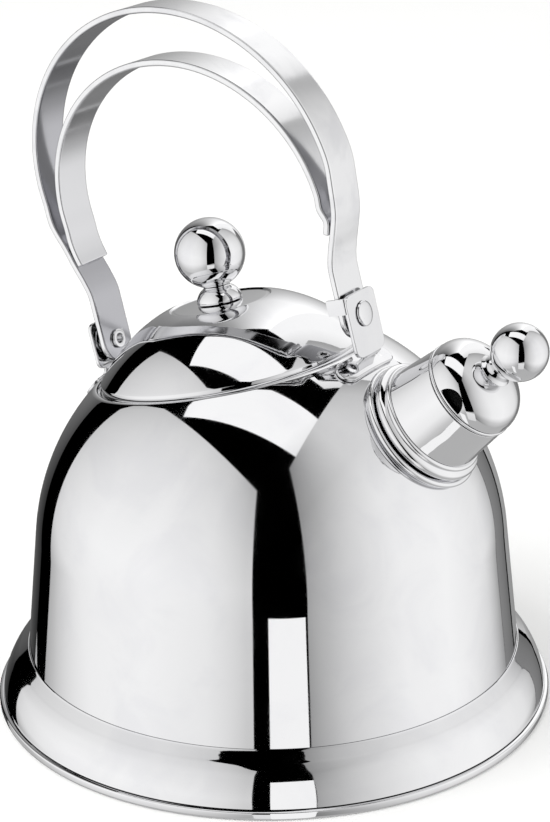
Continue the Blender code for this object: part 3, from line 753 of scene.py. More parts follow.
@dataclass
class Body(Assembly):
    """The shell: a cone of wall that turns into a dome with a tilted, rolled opening."""

    wall: float = 1.0
    cone: float = 6.0
    foot: float = 4.4
    opening: float = 56.0
    roll: float = 2.2
    ledge: float = 47.0
    ledge_top: float = 72.9
    roll_end: float = 172.0    # where the rolled edge stops turning, degrees
    spout_hole: float = 18.3
    columns: int = 240

    def wall_radius(self, height: float) -> float:
        """Finds the outer radius of the conical wall.

        Args:
            height: a height below the dome, mm.

        Returns:
            The radius, mm.
        """
        lean = math.radians(self.cone)
        side, top = DOME_RADIUS * math.cos(lean), DOME_HEIGHT + DOME_RADIUS * math.sin(lean)
        return side + (top - height) * math.tan(lean)

    def ring(self, place: Matrix, radius: float, height: float) -> list[Vector]:
        """A ring of points round the Z axis of a frame.

        Args:
            place: the frame.
            radius: the ring's radius, mm.
            height: its height along the axis, mm.

        Returns:
            The points in the kettle's own axes, mm.
        """
        to_mm = Matrix.Scale(1.0 / MM, 4) @ place @ Matrix.Scale(MM, 4)
        points = []
        for column in range(self.columns):
            turn = 2.0 * math.pi * column / self.columns
            points.append(to_mm @ Vector((radius * math.cos(turn), radius * math.sin(turn), height)))
        return points

    def dome(self, radius: float, rows: int) -> list[list[Vector]]:
        """Rings on a sphere from the level foot of the dome to the tilted opening.

        Args:
            radius: the sphere's radius, mm.
            rows: the number of steps between the two.

        Returns:
            The rings from the foot up.
        """
        centre = Vector(DOME_CENTRE)
        lean = math.radians(self.cone)
        low = self.ring(LEVEL, DOME_RADIUS * math.cos(lean), DOME_HEIGHT + DOME_RADIUS * math.sin(lean))
        high = self.ring(LID_AXIS, self.opening, math.sqrt(DOME_RADIUS ** 2 - self.opening ** 2))
        rings = []
        for row in range(rows + 1):
            ring = []
            for start, end in zip(low, high):
                ray = (start - centre).normalized().slerp((end - centre).normalized(), row / rows)
                ring.append(centre + radius * ray)
            rings.append(ring)
        return rings

    def cone_rings(self, inset: float, rows: int) -> list[list[Vector]]:
        """Level rings up the wall, from its foot to just below the dome.

        Args:
            inset: how far inside the wall's outer face, mm.
            rows: the number of rings.

        Returns:
            The rings from the foot up.
        """
        top = DOME_HEIGHT + DOME_RADIUS * math.sin(math.radians(self.cone))
        heights = [self.foot + (top - self.foot) * row / rows for row in range(rows)]
        return [self.ring(LEVEL, self.wall_radius(height) - inset, height) for height in heights]

    def rolled_edge(self) -> list[list[Vector]]:
        """Rings over the rolled edge of the opening, round the ledge and back below it.

        Returns:
            The rings from the outside of the edge to its inside.
        """
        start = math.degrees(math.acos(self.opening / DOME_RADIUS))
        hub = DOME_RADIUS - self.roll
        centre = (hub * math.cos(math.radians(start)), hub * math.sin(math.radians(start)))
        over = arc(centre, self.roll, start, self.roll_end, 14)[1:]
        under = arc(centre, self.roll - self.wall, self.roll_end, start, 8)[:-1]
        low = self.ledge_top - self.wall
        seat = rounded([(over[-1][0], over[-1][1], 0.0), (over[-1][0] - 0.1, self.ledge_top, 0.5),
                        (self.ledge, self.ledge_top, 0.3), (self.ledge, low, 0.3),
                        (under[0][0] - 0.1, low, 0.6), (under[0][0], under[0][1], 0.0)], closed=False)
        outline = over[:-1] + seat + under[1:]
        return [self.ring(LID_AXIS, radius, height) for radius, height in outline]

    def build(self) -> None:
        """Builds the shell as rings of faces, then cuts the hole that the spout stands over."""
        outside = self.cone_rings(0.0, 12) + self.dome(DOME_RADIUS, 44)
        inside = list(reversed(self.cone_rings(self.wall, 6) + self.dome(DOME_RADIUS - self.wall, 20)))
        rings = outside + self.rolled_edge() + inside
        shape = bmesh.new()
        grain = shape.verts.layers.float_vector.new("grain")
        made = []
        length = 0.0
        for row, ring in enumerate(rings):
            if row:
                length += (ring[0] - rings[row - 1][0]).length
            verts = []
            for column, point in enumerate(ring):
                turn = 2.0 * math.pi * column / self.columns
                vert = shape.verts.new(point)
                vert[grain] = Vector((length, math.cos(turn), math.sin(turn)))
                verts.append(vert)
            made.append(verts)
        for row, verts in enumerate(made):
            join_rings(shape, verts, made[(row + 1) % len(made)])
        shell = finish_mesh("shell", shape, LEVEL)
        above, below = 120.0, 60.0
        hole = [(0.0, above), (self.spout_hole, above), (self.spout_hole, below), (0.0, below)]
        cut(shell, lathe("spout_hole", hole, SPOUT_AXIS, 96, closed=False))
        self.dress(shell, SPUN_STEEL, "body_shell")


@dataclass
class Spout(Assembly):
    """The short pouring tube and the rolled beads that join it to the dome."""

    bore: float = 17.2
    sheet: float = 0.8
    foot: float = 84.0
    mouth: float = 104.0

    def build(self) -> None:
        """Builds the tube, the seated flange and the two-bead collar."""
        outer = self.bore + self.sheet
        tube = rounded([(self.bore, self.foot, 0.2), (self.bore, self.mouth, 0.5),
                        (outer + 0.5, self.mouth, 0.5), (outer + 0.5, self.mouth - 1.2, 0.5),
                        (outer, self.mouth - 1.9, 0.4), (outer, self.foot, 0.2)])
        self.dress(lathe("pouring_tube", tube, SPOUT_AXIS), SPUN_STEEL, "spout_tube")
        bead = arc((24.6, 91.1), 1.3, 104.0, -66.0, 16)
        seat = [(radius, math.sqrt(DOME_RADIUS ** 2 - radius ** 2) + GAP)
                for radius in (24.4, 23.0, 21.6, 20.2, 18.9)]
        flange = [(19.0, 92.3), (21.0, 92.32), (23.0, 92.36), *bead, *seat]
        self.dress(lathe("seat_bead", flange, SPOUT_AXIS, 128), SPUN_STEEL, "spout_flange")
        inner = outer + GAP
        narrow = arc((21.5, 97.6), 1.1, 100.0, -34.0, 12)
        wide = arc((22.6, 94.8), 2.0, 50.0, -64.0, 18)
        collar = [(inner, 98.5), (inner + 0.8, 98.66), *narrow, *wide, (22.4, 92.66), (inner, 92.6)]
        self.dress(lathe("collar_beads", collar, SPOUT_AXIS, 128), SPUN_STEEL, "spout_collar")


@dataclass
class Whistle(Assembly):
    """The pull-off whistle: a tapered barrel, a domed cap with two steam slots, and a ball."""

    body: str = "whistle"
    start: float = 98.8
    seam: float = 117.4
    wide: float = 21.3
    narrow: float = 19.3
    sheet: float = 0.8
    top: float = 132.2
    ball: float = 144.7
    ball_radius: float = 10.65
    screw_hole: float = 1.9
    slot_radius: float = 5.2
    fullness: float = 2.3      # 2 would make the cap an ellipse

    def cap_outline(self, count: int) -> list[Point]:
        """The cap's outside from its hub to its foot, a little fuller than an ellipse.

        Args:
            count: the number of steps.

        Returns:
            Its (radius, height) points.
        """
        foot = self.seam + 1.9
        reach = self.top - foot
        power = 2.0 / self.fullness
        hub_turn, sweep = 14.0, 76.0
        points = []
        for index in range(count + 1):
            turn = math.radians(hub_turn + sweep * index / count)
            points.append(((self.narrow - 0.1) * math.sin(turn) ** power,
                           foot + reach * math.cos(turn) ** power))
        return points

    def build(self) -> None:
        """Builds the outside, then what is inside."""
        barrel = smooth([(self.narrow, self.seam), (self.narrow + 0.45, 112.5), (self.narrow + 0.95, 107.0),
                         (self.narrow + 1.55, 102.0), (self.wide, self.start)], 8)
        self.dress(lathe("barrel", sheet(barrel, self.sheet), SPOUT_AXIS, 160), SPUN_STEEL,
                   "whistle_barrel")
        seam = arc((self.narrow - 0.4, self.seam + 0.95), 0.65, 180.0, -156.0, 26)
        self.dress(lathe("seam_ring", seam, SPOUT_AXIS, 160), BALL_STEEL, "whistle_seam_ring")
        self.build_cap()
        self.build_ball()
        self.build_inside()

    def build_cap(self) -> None:
        """Builds the domed cap and cuts its two half-moon steam slots."""
        cap = lathe("cap", sheet(self.cap_outline(40), self.sheet), SPOUT_AXIS, 160)
        straight_edge = self.seam + 2.6
        reach = 30.0
        half_moon = arc((0.0, straight_edge), self.slot_radius, 0.0, 180.0, 36)
        shape = bmesh.new()
        ends = [[shape.verts.new((x, y, z)) for x, z in half_moon] for y in (-reach, reach)]
        join_rings(shape, ends[0], ends[1])
        for end in ends:
            shape.faces.new(end)
        cut(cap, finish_mesh("slot_cutter", shape, SPOUT_AXIS))
        self.dress(cap, SPUN_STEEL, "whistle_dome")

    def build_ball(self) -> None:
        """Builds the neck, the ball it carries and the screw that holds both."""
        hub_radius, hub = self.cap_outline(8)[0]
        foot = self.ball - self.ball_radius
        neck = rounded([(self.screw_hole, foot + 1.2, 0.1), (4.3, foot + 1.2, 0.2), (5.0, foot + 0.1, 0.8),
                        (5.6, hub + 1.0, 2.0), (hub_radius + 1.2, hub - 0.15, 0.15),
                        (hub_radius - GAP, hub - 0.5, 0.1), (hub_radius - GAP, hub - 1.4, 0.2),
                        (self.screw_hole, hub - 1.4, 0.1)])
        self.dress(lathe("neck", neck, SPOUT_AXIS, 64), BALL_STEEL, "whistle_neck")
        flat = foot + 1.2 + GAP
        seat = math.degrees(math.acos((self.ball - flat) / self.ball_radius))
        ball = arc((0.0, self.ball), self.ball_radius, 90.0, seat - 90.0, 64)
        ball[0] = (0.0, ball[0][1])
        ball += [(self.screw_hole, flat), (self.screw_hole, self.ball), (0.0, self.ball)]
        self.dress(lathe("whistle_ball_knob", ball, SPOUT_AXIS, 96, closed=False), BALL_STEEL,
                   "whistle_ball")
        screw = screw_outline(1.6, 3.6, hub - 1.4 - GAP, self.ball - 2.0)
        # The screw inside the cap is painted near black as shade
        self.dress(lathe("cap_screw", screw, SPOUT_AXIS, 48, closed=False), WHISTLE_SHADE_STEEL, "whistle_screw")

    def build_inside(self) -> None:
        """Builds the two dished whistle plates and the seal that grips the spout."""
        # The sounding plates inside the cap are painted near black as shade
        for node, name, height, rise in (("whistle_lower_plate", "sounding_plate_lower", 108.6, -1.6),
                                         ("whistle_upper_plate", "sounding_plate_upper", 112.4, 1.6)):
            dish = smooth([(1.5, height + rise), (5.0, height + rise), (8.0, height + rise),
                           (9.5, height + rise / 2.0), (11.0, height), (14.5, height), (18.2, height)], 4)
            self.dress(lathe(name, sheet(dish, 0.6, 0.15), SPOUT_AXIS), WHISTLE_SHADE_STEEL, node)
        seal = rounded([(18.3, 99.4, 0.3), (19.6, 99.4, 0.3), (19.6, 101.6, 0.3), (18.3, 101.6, 0.3)])
        self.dress(lathe("grip_seal", seal, SPOUT_AXIS), SILICONE, "whistle_seal")


def screw_outline(shank: float, head: float, head_top: float, tip: float) -> list[Point]:
    """A round-headed screw that points up its axis.

    Args:
        shank: the shank's radius, mm.
        head: the head's radius, mm.
        head_top: where head and shank meet, mm along the axis.
        tip: where the shank ends, mm along the axis.

    Returns:
        An open outline from the axis to the axis.
    """
    low = head_top - 2.0
    return rounded([(0.0, tip, 0.0), (shank, tip, 0.4), (shank, head_top, 0.1), (head, head_top, 0.3),
                    (head, low + 1.0, 0.8), (head * 0.6, low, 1.2), (0.0, low, 0.0)], closed=False)


@dataclass
class Lid(Assembly):
    """The lift-off lid, its locating ring and its ball knob."""

    body: str = "lid"
    radius: float = 51.9
    sheet: float = 0.8
    crease: float = 18.6
    hub: float = 98.2
    knob: float = 117.3
    knob_radius: float = 13.65
    ledge: float = 72.9
    screw_hole: float = 2.2
    ring_inner: float = 45.4
    ring_outer: float = 46.2
    ring_low: float = 65.0
    ring_top: float = 78.3

    def crown(self) -> list[Point]:
        """The lid's upper side: a nearly flat hub, a fine pressed crease, then a dome to the rim.

        Returns:
            Its (radius, height) points from the middle out.
        """
        groove = [(self.crease - 0.7, 97.62), (self.crease - 0.3, 97.56), (self.crease, 97.44),
                  (self.crease + 0.3, 97.46), (self.crease + 0.7, 97.36)]
        points = [(self.screw_hole, self.hub), (6.0, 98.17), (10.0, 98.05), (14.0, 97.84),
                  (16.5, 97.68), *groove]
        ball, centre = 70.5, 28.3
        spans = 44
        for index in range(2, spans + 1):
            share = index / spans
            radius = self.crease + (self.radius - self.crease) * share
            lift = 1.9 * (1.0 - share) ** 1.5 + 0.9 * math.sin(math.pi * share)
            beyond = radius - self.crease
            ease = 0.14 * beyond * math.exp(-beyond / 6.0)
            points.append((radius, centre + math.sqrt(ball ** 2 - radius ** 2) + lift + ease))
        return points

    def build(self) -> None:
        """Builds the lid, its ring and its knob."""
        crown = self.crown()
        edge = crown[-1]
        inner = beside(crown, self.sheet)
        low = self.ledge + GAP
        inside = self.radius - self.sheet
        corners = [(self.screw_hole, self.hub - self.sheet, 0.1), (self.screw_hole, self.hub, 0.1),
                   *plain(crown[1:-1]),
                   (edge[0], edge[1], 0.35), (edge[0], low, 0.3), (inside, low, 0.3),
                   (inside, edge[1] - 1.1, 0.4), *plain(list(reversed(inner[1:-2])))]
        self.dress(lathe("lid_shell", rounded(corners), LID_AXIS, 240), SPUN_STEEL, "lid_cap")
        ring = rounded([(self.ring_inner, self.ring_low, 0.3), (self.ring_outer, self.ring_low, 0.3),
                        (self.ring_outer, self.ring_top, 0.2), (self.ring_inner, self.ring_top, 0.2)])
        self.dress(lathe("locating_ring", ring, LID_AXIS, 160), INNER_STEEL, "lid_locating_ring")
        self.build_knob()

    def build_knob(self) -> None:
        """Builds the waisted stem, the ball, and the screw and washer inside the lid."""
        foot = self.hub + GAP
        ball_foot = self.knob - self.knob_radius
        side = smooth([(5.1, ball_foot + 0.8), (5.5, ball_foot + 0.2), (6.8, ball_foot - 0.7),
                       (7.9, foot + 3.1), (8.55, foot + 1.9), (8.8, foot + 0.9), (8.8, foot + 0.1)], 5)
        stem = rounded([(self.screw_hole, ball_foot + 1.0, 0.1), (4.6, ball_foot + 1.0, 0.15),
                        *plain(side), (8.7, foot, 0.0), (self.screw_hole, foot, 0.1)])
        self.dress(lathe("stem", stem, LID_AXIS, 96), BALL_STEEL, "knob_stem")
        flat = ball_foot + 1.0 + GAP
        seat = math.degrees(math.acos((self.knob - flat) / self.knob_radius))
        ball = arc((0.0, self.knob), self.knob_radius, 90.0, seat - 90.0, 72)
        ball[0] = (0.0, ball[0][1])
        ball += [(self.screw_hole, flat), (self.screw_hole, self.knob), (0.0, self.knob)]
        self.dress(lathe("lid_ball_knob", ball, LID_AXIS, 128, closed=False), BALL_STEEL, "knob_ball")
        top = self.hub - self.sheet - GAP
        washer = rounded([(self.screw_hole, top - 0.9, 0.1), (5.5, top - 0.9, 0.2), (5.5, top, 0.2),
                          (self.screw_hole, top, 0.1)])
        self.dress(lathe("inner_washer", washer, LID_AXIS, 48), INNER_STEEL, "knob_washer")
        screw = screw_outline(1.9, 4.0, top - 0.9 - GAP, self.knob - 2.0)
        self.dress(lathe("stem_screw", screw, LID_AXIS, 48, closed=False), INNER_STEEL, "knob_screw")


@dataclass
class Handle(Assembly):
    """Two bent straps: the outer one swings on the rivets, the inner one lies inside it."""

    body: str = "handle"
    width: float = 17.5
    sheet: float = 2.5
    front: float = 58.5
    rear: float = 56.0
    end_radius: float = 8.9
    edge: float = 0.75
    hole: float = 3.0
    outer_half: float = 67.0   # half the outer strap's span where its bow starts
    inner_half: float = 59.6   # the same for the inner strap

    def crown(self, half_width: float, centre: float, height: float, lean: float) -> list[Point]:
        """The bow of a strap from the front side to the rear, leaning back.

        Args:
            half_width: half its span, mm.
            centre: where it starts above the hinge, mm.
            height: its rise from there, mm.
            lean: how far its top leans back, mm.

        Returns:
            Its (x, z) points in the hinge's frame.
        """
        points = []
        spans = 24
        for index in range(spans + 1):
            turn = math.pi * index / spans
            points.append((half_width * math.cos(turn) - lean * math.sin(turn),
                           centre + height * math.sin(turn)))
        return points

    def leg(self, side: float, reach: float, half_width: float) -> list[Point]:
        """One leg of the outer strap, from above its round end to the start of the bow.

        Args:
            side: 1 for the front leg, -1 for the rear.
            reach: how far the leg's foot is from the middle, mm.
            half_width: half the span of the bow, mm.

        Returns:
            Its (x, z) points in the hinge's frame.
        """
        foot = [(0.0, 0.0), (0.0, 4.0), (0.0, 9.0), (0.0, 14.0), (0.2, 20.0), (1.9, 26.0), (4.6, 33.0),
                (6.9, 40.0)]
        points = [(side * (reach + out), height) for out, height in foot]
        points.append((side * (half_width - 0.5), 49.5))
        return points

    def round_end(self, side: float, reach: float) -> list[Station]:
        """Stations up the half-round end of a leg, from its tip to the hinge axis.

        Args:
            side: 1 for the front leg, -1 for the rear.
            reach: how far the leg's foot is from the middle, mm.

        Returns:
            The stations.
        """
        stations = []
        angles = (90.0, 89.0, 86.0, 82.0, 76.0, 70.0, 62.0, 54.0, 46.0, 38.0, 30.0, 22.0, 15.0, 8.0)
        for angle in angles:
            turn = math.radians(angle)
            drop = self.end_radius * math.sin(turn)
            half = min(self.width / 2.0, self.end_radius * math.cos(turn))
            thin = self.sheet / 2.0 * min(1.0, 0.45 + 0.55 * (90.0 - angle) / 12.0)
            stations.append(Station(Vector((side * reach, 0.0, -drop)), Vector((1.0, 0.0, 0.0)),
                                    max(half, 0.7), thin, -drop))
        return stations

    def build(self) -> None:
        """Builds both straps and drills the outer one for its rivets."""
        bow = self.crown(self.outer_half, 58.5, 67.0, 6.5)
        line = smooth(self.leg(1.0, self.front, self.outer_half) + bow
                      + list(reversed(self.leg(-1.0, self.rear, self.outer_half))), 6)
        middle = stations_along(line, self.sheet / 2.0, self.width / 2.0)
        rear = [Station(s.centre, -s.normal, s.half_width, s.half_sheet, s.length)
                for s in reversed(self.round_end(-1.0, self.rear))]
        outer = strip("outer_strap_band", self.round_end(1.0, self.front) + middle + rear, self.edge)
        drill(outer, self.hole, "rivet_holes")
        self.dress(outer, STRAP_STEEL, "outer_strap")
        self.build_inner()

    def build_inner(self) -> None:
        """Builds the shorter strap, whose ends lie against the inside of the outer one."""
        half, lie = self.inner_half, self.sheet + GAP
        front = [(self.front + 4.2 - lie, 32.4), (self.front + 5.5 - lie, 37.0), (half - 0.1, 42.0)]
        rear = [(-half + 0.1, 42.0), (-self.rear - 5.5 + lie, 37.0), (-self.rear - 4.2 + lie, 32.4)]
        line = smooth(front + self.crown(half, 47.5, 58.0, 6.0) + rear, 6)
        stations = stations_along(line, self.sheet / 2.0, self.width / 2.0)
        blunt = [(0.0, 0.86), (0.12, 0.95), (0.35, 1.0)]
        ended = [self.end_station(stations, share, inset, first=True) for inset, share in blunt]
        ended += stations[1:-1]
        ended += [self.end_station(stations, share, inset, first=False) for inset, share in reversed(blunt)]
        self.dress(strip("inner_strap_band", ended, self.edge), LINER_STEEL, "inner_strap")

    def end_station(self, stations: Sequence[Station], share: float, inset: float,
                    first: bool) -> Station:
        """A slightly smaller station near one cut end, which softens the end's edges.

        Args:
            stations: the strap's stations.
            share: the share of the sheet's thickness left.
            inset: how far it is from the end, mm.
            first: whether the end is the first station or the last.

        Returns:
            The station.
        """
        end, other = (stations[0], stations[1]) if first else (stations[-1], stations[-2])
        along = (other.centre - end.centre).normalized()
        trim = (1.0 - share) * end.half_sheet
        return Station(end.centre + along * inset, end.normal, end.half_width - trim,
                       end.half_sheet - trim, end.length)


@dataclass
class Bracket(Assembly):
    """A bent plate that carries one leg: plate, neck, and a pad that follows the dome."""

    name: str = "front"
    side: float = 1.0
    reach: float = 58.5
    foot: float = -15.0
    pad_angle: float = 27.5
    strap_sheet: float = 2.5
    strap_half: float = 8.75
    gap: float = 1.8
    sheet: float = 1.5
    plate_half: float = 10.0
    plate_top: float = 8.5
    neck_half: float = 6.5
    pad_half_length: float = 17.0
    pad_half_width: float = 4.8
    pad_sheet: float = 1.2
    corner: float = 3.0
    waist: float = 0.4         # how much narrower the neck is half-way down
    thinned: float = 0.85      # share of the sheet left where the neck is drawn down
    edge: float = 0.35
    hole: float = 3.0
    weld: float = 9.5          # how far each weld is from the middle of the pad
    dent: float = 0.4          # depth of the dimple at a weld
    dent_reach: float = 1.3
    rivet_head: float = 4.9

    @property
    def middle(self) -> float:
        """Where the middle of the plate's sheet stands along the hinge axis."""
        return self.side * (self.reach + self.strap_sheet / 2.0 + self.gap + self.sheet / 2.0)

    def pad_direction(self, angle: float) -> Vector:
        """The direction from the dome's centre, in the hinge's frame, at an angle from the vertical."""
        turn = math.radians(angle + HINGE_TILT)
        return Vector((math.sin(turn), 0.0, math.cos(turn)))

    def dome_centre(self) -> Vector:
        """The dome's centre in the hinge's frame, mm."""
        return (HINGE.inverted() @ (Vector(DOME_CENTRE) * MM)) / MM

    def plate_line(self) -> tuple[list[Point], list[float]]:
        """The middle line of the plate, seen edge on, with its widths.

        Returns:
            Its (x, z) points from the top down, and a half width for each.
        """
        top, foot, corner = self.plate_top, self.foot, self.corner
        row, turns = 0.8, 12
        line: list[Point] = []
        widths: list[float] = []
        for index in range(turns + 1):
            turn = math.radians(90.0 * index / turns)
            line.append((self.middle, top - corner * (1.0 - math.cos(turn))))
            widths.append(self.plate_half - corner * (1.0 - math.sin(turn)))
        height = top - corner
        while height > foot + corner + row:
            height -= row
            line.append((self.middle, height))
            widths.append(self.plate_half)
        drop = self.plate_half - self.neck_half
        for index in range(turns + 1):
            turn = math.radians(90.0 * index / turns)
            line.append((self.middle, foot + corner * (1.0 - math.sin(turn))))
            widths.append(self.plate_half - drop * (1.0 - math.cos(turn)))
        return line, widths

    def build(self) -> None:
        """Builds the bracket, its rivet and its washer."""
        centre = self.dome_centre()
        shell = DOME_RADIUS + GAP + self.pad_sheet / 2.0
        line, widths = self.plate_line()
        plate_count = len(line)
        pad_middle = centre + self.pad_direction(self.pad_angle) * shell
        start = (self.middle, self.foot - 0.1)
        spans = 7
        for index in range(1, spans):
            share = index / spans
            ease = share * share * (3.0 - 2.0 * share)
            line.append((start[0] + (pad_middle.x - start[0]) * ease,
                         start[1] + (pad_middle.z - start[1]) * share))
            widths.append(self.neck_half - self.waist * math.sin(math.pi * share))
        stations = stations_along(line, self.sheet / 2.0, self.plate_half)
        stations = [replace(station, half_width=width,
                            half_sheet=station.half_sheet * (1.0 if index < plate_count else self.thinned))
                    for index, (station, width) in enumerate(zip(stations, widths))]
        upper = strip(f"{self.name}_bracket_plate", stations, self.edge)
        drill(upper, self.hole, "plate_hole")
        parts = [upper, self.build_pad(centre, shell)]
        if self.side > 0.0:
            parts.append(self.build_tab())
        self.dress(joined(parts), PRESSED_STEEL, f"{self.name}_bracket")
        self.build_pivot()

    def build_pad(self, centre: Vector, shell: float) -> bpy.types.Object:
        """Builds the long round-ended pad, bent to the dome, with its two weld dimples.

        Args:
            centre: the dome's centre in the hinge's frame, mm.
            shell: the radius of the middle of the pad's sheet, mm.

        Returns:
            The pad.
        """
        stations = []
        steps = 24
        for index in range(steps + 1):
            turn = math.radians(-88.0 + 176.0 * index / steps)
            off = self.pad_half_width * math.sin(turn)
            half = self.pad_half_length - self.pad_half_width * (1.0 - math.cos(turn))
            angle = self.pad_angle + math.degrees(off / shell)
            direction = self.pad_direction(angle)
            end = min(1.0, 0.5 + 0.5 * (1.0 - abs(math.sin(turn))) / 0.06)
            stations.append(Station(centre + direction * shell, direction, half,
                                    self.pad_sheet / 2.0 * end, off))

        def follow(point: Vector, station: Station, across: float) -> Vector:
            """Bends the pad along its length on to the dome and dents it at the welds.

            Args:
                point: the point on the flat pad.
                station: the point's station.
                across: the point's place along the pad.

            Returns:
                The point on the bent pad.
            """
            through = (point - station.centre).dot(station.normal)
            turn = across / shell
            dent = 0.0
            if through > 0.0:
                for weld in (-self.weld, self.weld):
                    spread = math.hypot(across - weld, station.length)
                    dent += self.dent * math.exp(-(spread / self.dent_reach) ** 2)
            radius = shell + through - dent
            return centre + radius * (station.normal * math.cos(turn) + Vector((0.0, math.sin(turn), 0.0)))

        return strip(f"{self.name}_pad", stations, self.edge, dense_section, follow)

    def build_tab(self) -> bpy.types.Object:
        """Builds the bent tab that the leg rests against when the handle stands.

        Returns:
            The tab.
        """
        low, high, soft, shrink = 2.3, 8.2, 0.12, 0.03
        inner_face = self.reach + self.strap_sheet / 2.0 + self.gap
        edge = self.strap_half + GAP + 0.7
        line = smooth([(inner_face - 7.0, -edge), (inner_face - 3.0, -edge), (inner_face - 0.6, -edge),
                       (inner_face + 0.5, -edge + 0.25), (inner_face + 0.75, -edge + 1.4)], 5)
        half_sheet = self.pad_sheet / 2.0
        outline = beside(line, half_sheet) + list(reversed(beside(line, -half_sheet)))
        middle_x = sum(x for x, _ in outline) / len(outline)
        shape = bmesh.new()
        grain = shape.verts.layers.float_vector.new("grain")
        rings = []
        for height, pull in ((low, shrink), (low + soft, 0.0), (high - soft, 0.0), (high, shrink)):
            ring = []
            for x, y in outline:
                vert = shape.verts.new((x + (middle_x - x) * pull, y, height))
                vert[grain] = Vector((height, x / GRAIN_STRETCH, 0.0))
                ring.append(vert)
            rings.append(ring)
        close_rings(shape, rings)
        return finish_mesh("stop_tab", shape, HINGE)

    def build_pivot(self) -> None:
        """Builds the hollow rivet, domed outside and flared inside, and the washer in the gap."""
        outward = HINGE @ Matrix.Rotation(self.side * math.pi / 2, 4, "Y")
        strap_in = self.reach - self.strap_sheet / 2.0
        strap_out = self.reach + self.strap_sheet / 2.0
        rim = strap_out + self.gap + self.sheet + GAP
        end = strap_in - GAP - 0.9
        head = self.rivet_head
        dome = [(0.0, rim + 1.2), (1.4, rim + 1.18), (2.8, rim + 1.08), (3.9, rim + 0.9),
                (head - 0.35, rim + 0.66), (head - 0.08, rim + 0.35), (head, rim + 0.1)]
        rivet = rounded([*plain(smooth(dome, 6)), (head - 0.05, rim, 0.0), (2.7, rim, 0.1),
                         (2.7, strap_in - GAP, 0.1), (3.8, strap_in - GAP, 0.15), (3.8, end, 0.4),
                         (1.9, end, 0.4), (1.9, strap_out, 0.3), (0.0, strap_out, 0.0)], closed=False)
        self.dress(lathe(f"{self.name}_pivot_rivet", rivet, outward, 96, closed=False), PRESSED_STEEL,
                   f"{self.name}_rivet")
        inner, outer = strap_out + GAP, strap_out + self.gap - GAP
        washer = rounded([(self.hole, inner, 0.1), (5.6, inner, 0.3), (5.6, outer, 0.3),
                          (self.hole, outer, 0.1)])
        self.dress(lathe(f"{self.name}_pivot_washer", washer, outward, 64), PRESSED_STEEL,
                   f"{self.name}_washer")


def joined(parts: Sequence[bpy.types.Object]) -> bpy.types.Object:
    """Joins objects into the first of them.

    Args:
        parts: the objects, all in world axes.

    Returns:
        The first object.
    """
    first = parts[0]
    shape = bmesh.new()
    for part in parts:
        shape.from_mesh(part.data)
    shape.to_mesh(first.data)
    shape.free()
    for part in parts[1:]:
        bpy.data.objects.remove(part, do_unlink=True)
    return first


# ---------------------------------------------------------------- studio

EYE_GAMMA = 2.2            # how the eye's brightness turns to light
WHITE_GLOW = 1.22          # strength of a card of brightness 1
EVEN = ((0.0, 1.0),)       # the same tone all over


@dataclass(frozen=True)
class Card:
    """A reflector or softbox that only the polished steel sees.

    Bearings are degrees from the front, positive to the camera's right.
    Brightness is as the eye reads it, 1 for white.
    """

    name: str
    bearing: float
    left: float
    right: float
    low: float
    high: float
    tones: tuple[tuple[float, float], ...]
    levels: tuple[tuple[float, float], ...] = ((0.0, 1.0),)
    distance: float = 3.0

    def across(self, bearing: float) -> float:
        """Metres along the card from its middle to a bearing."""
        return math.tan(math.radians(bearing - self.bearing)) * self.distance

    def height(self, level: float) -> float:
        """Metres above the floor at an elevation."""
        return math.tan(math.radians(level)) * self.distance + 0.06

    def corners(self) -> list[Vector]:
        """The card's corners, from its edges as angles seen from the kettle.

        Returns:
            Low left, low right, high right and high left, in metres.
        """
        out, along = bearing_vector(self.bearing), bearing_vector(self.bearing + 90.0)
        places = ((self.left, self.low), (self.right, self.low), (self.right, self.high),
                  (self.left, self.high))
        return [out * self.distance + along * self.across(side) + Vector((0.0, 0.0, self.height(level)))
                for side, level in places]

    def columns(self) -> list[Point]:
        """The tones across the card, by share of its width."""
        start, end = self.across(self.left), self.across(self.right)
        return [((self.across(bearing) - start) / (end - start), tone) for bearing, tone in self.tones]

    def rows(self) -> list[Point]:
        """The tones up the card, by share of its height."""
        start, end = self.height(self.low), self.height(self.high)
        return [((self.height(level) - start) / (end - start), tone) for level, tone in self.levels]


def bearing_vector(bearing: float) -> Vector:
    """The level direction at a bearing from the front."""
    turn = math.radians(FRONT + bearing)
    return Vector((math.sin(turn), -math.cos(turn), 0.0))


def tone_ramp(tree: bpy.types.NodeTree, along: bpy.types.NodeSocket,
              tones: Sequence[Point]) -> bpy.types.NodeSocket:
    """A soft ramp through (share, brightness) pairs.

    Args:
        tree: the node tree.
        along: the socket that gives the share.
        tones: the pairs, brightness as the eye reads it.

    Returns:
        The ramp's colour socket.
    """
    ramp = add_node(tree, "ShaderNodeValToRGB", inputs={"Fac": along})
    elements = ramp.color_ramp.elements
    while len(elements) < len(tones):
        elements.new(0.5)
    while len(elements) > len(tones):
        elements.remove(elements[-1])
    for element, (position, tone) in zip(elements, tones):
        element.position = min(max(position, 0.0), 1.0)
        light = tone ** EYE_GAMMA
        element.color = (light, light, light, 1.0)
    return ramp.outputs["Color"]


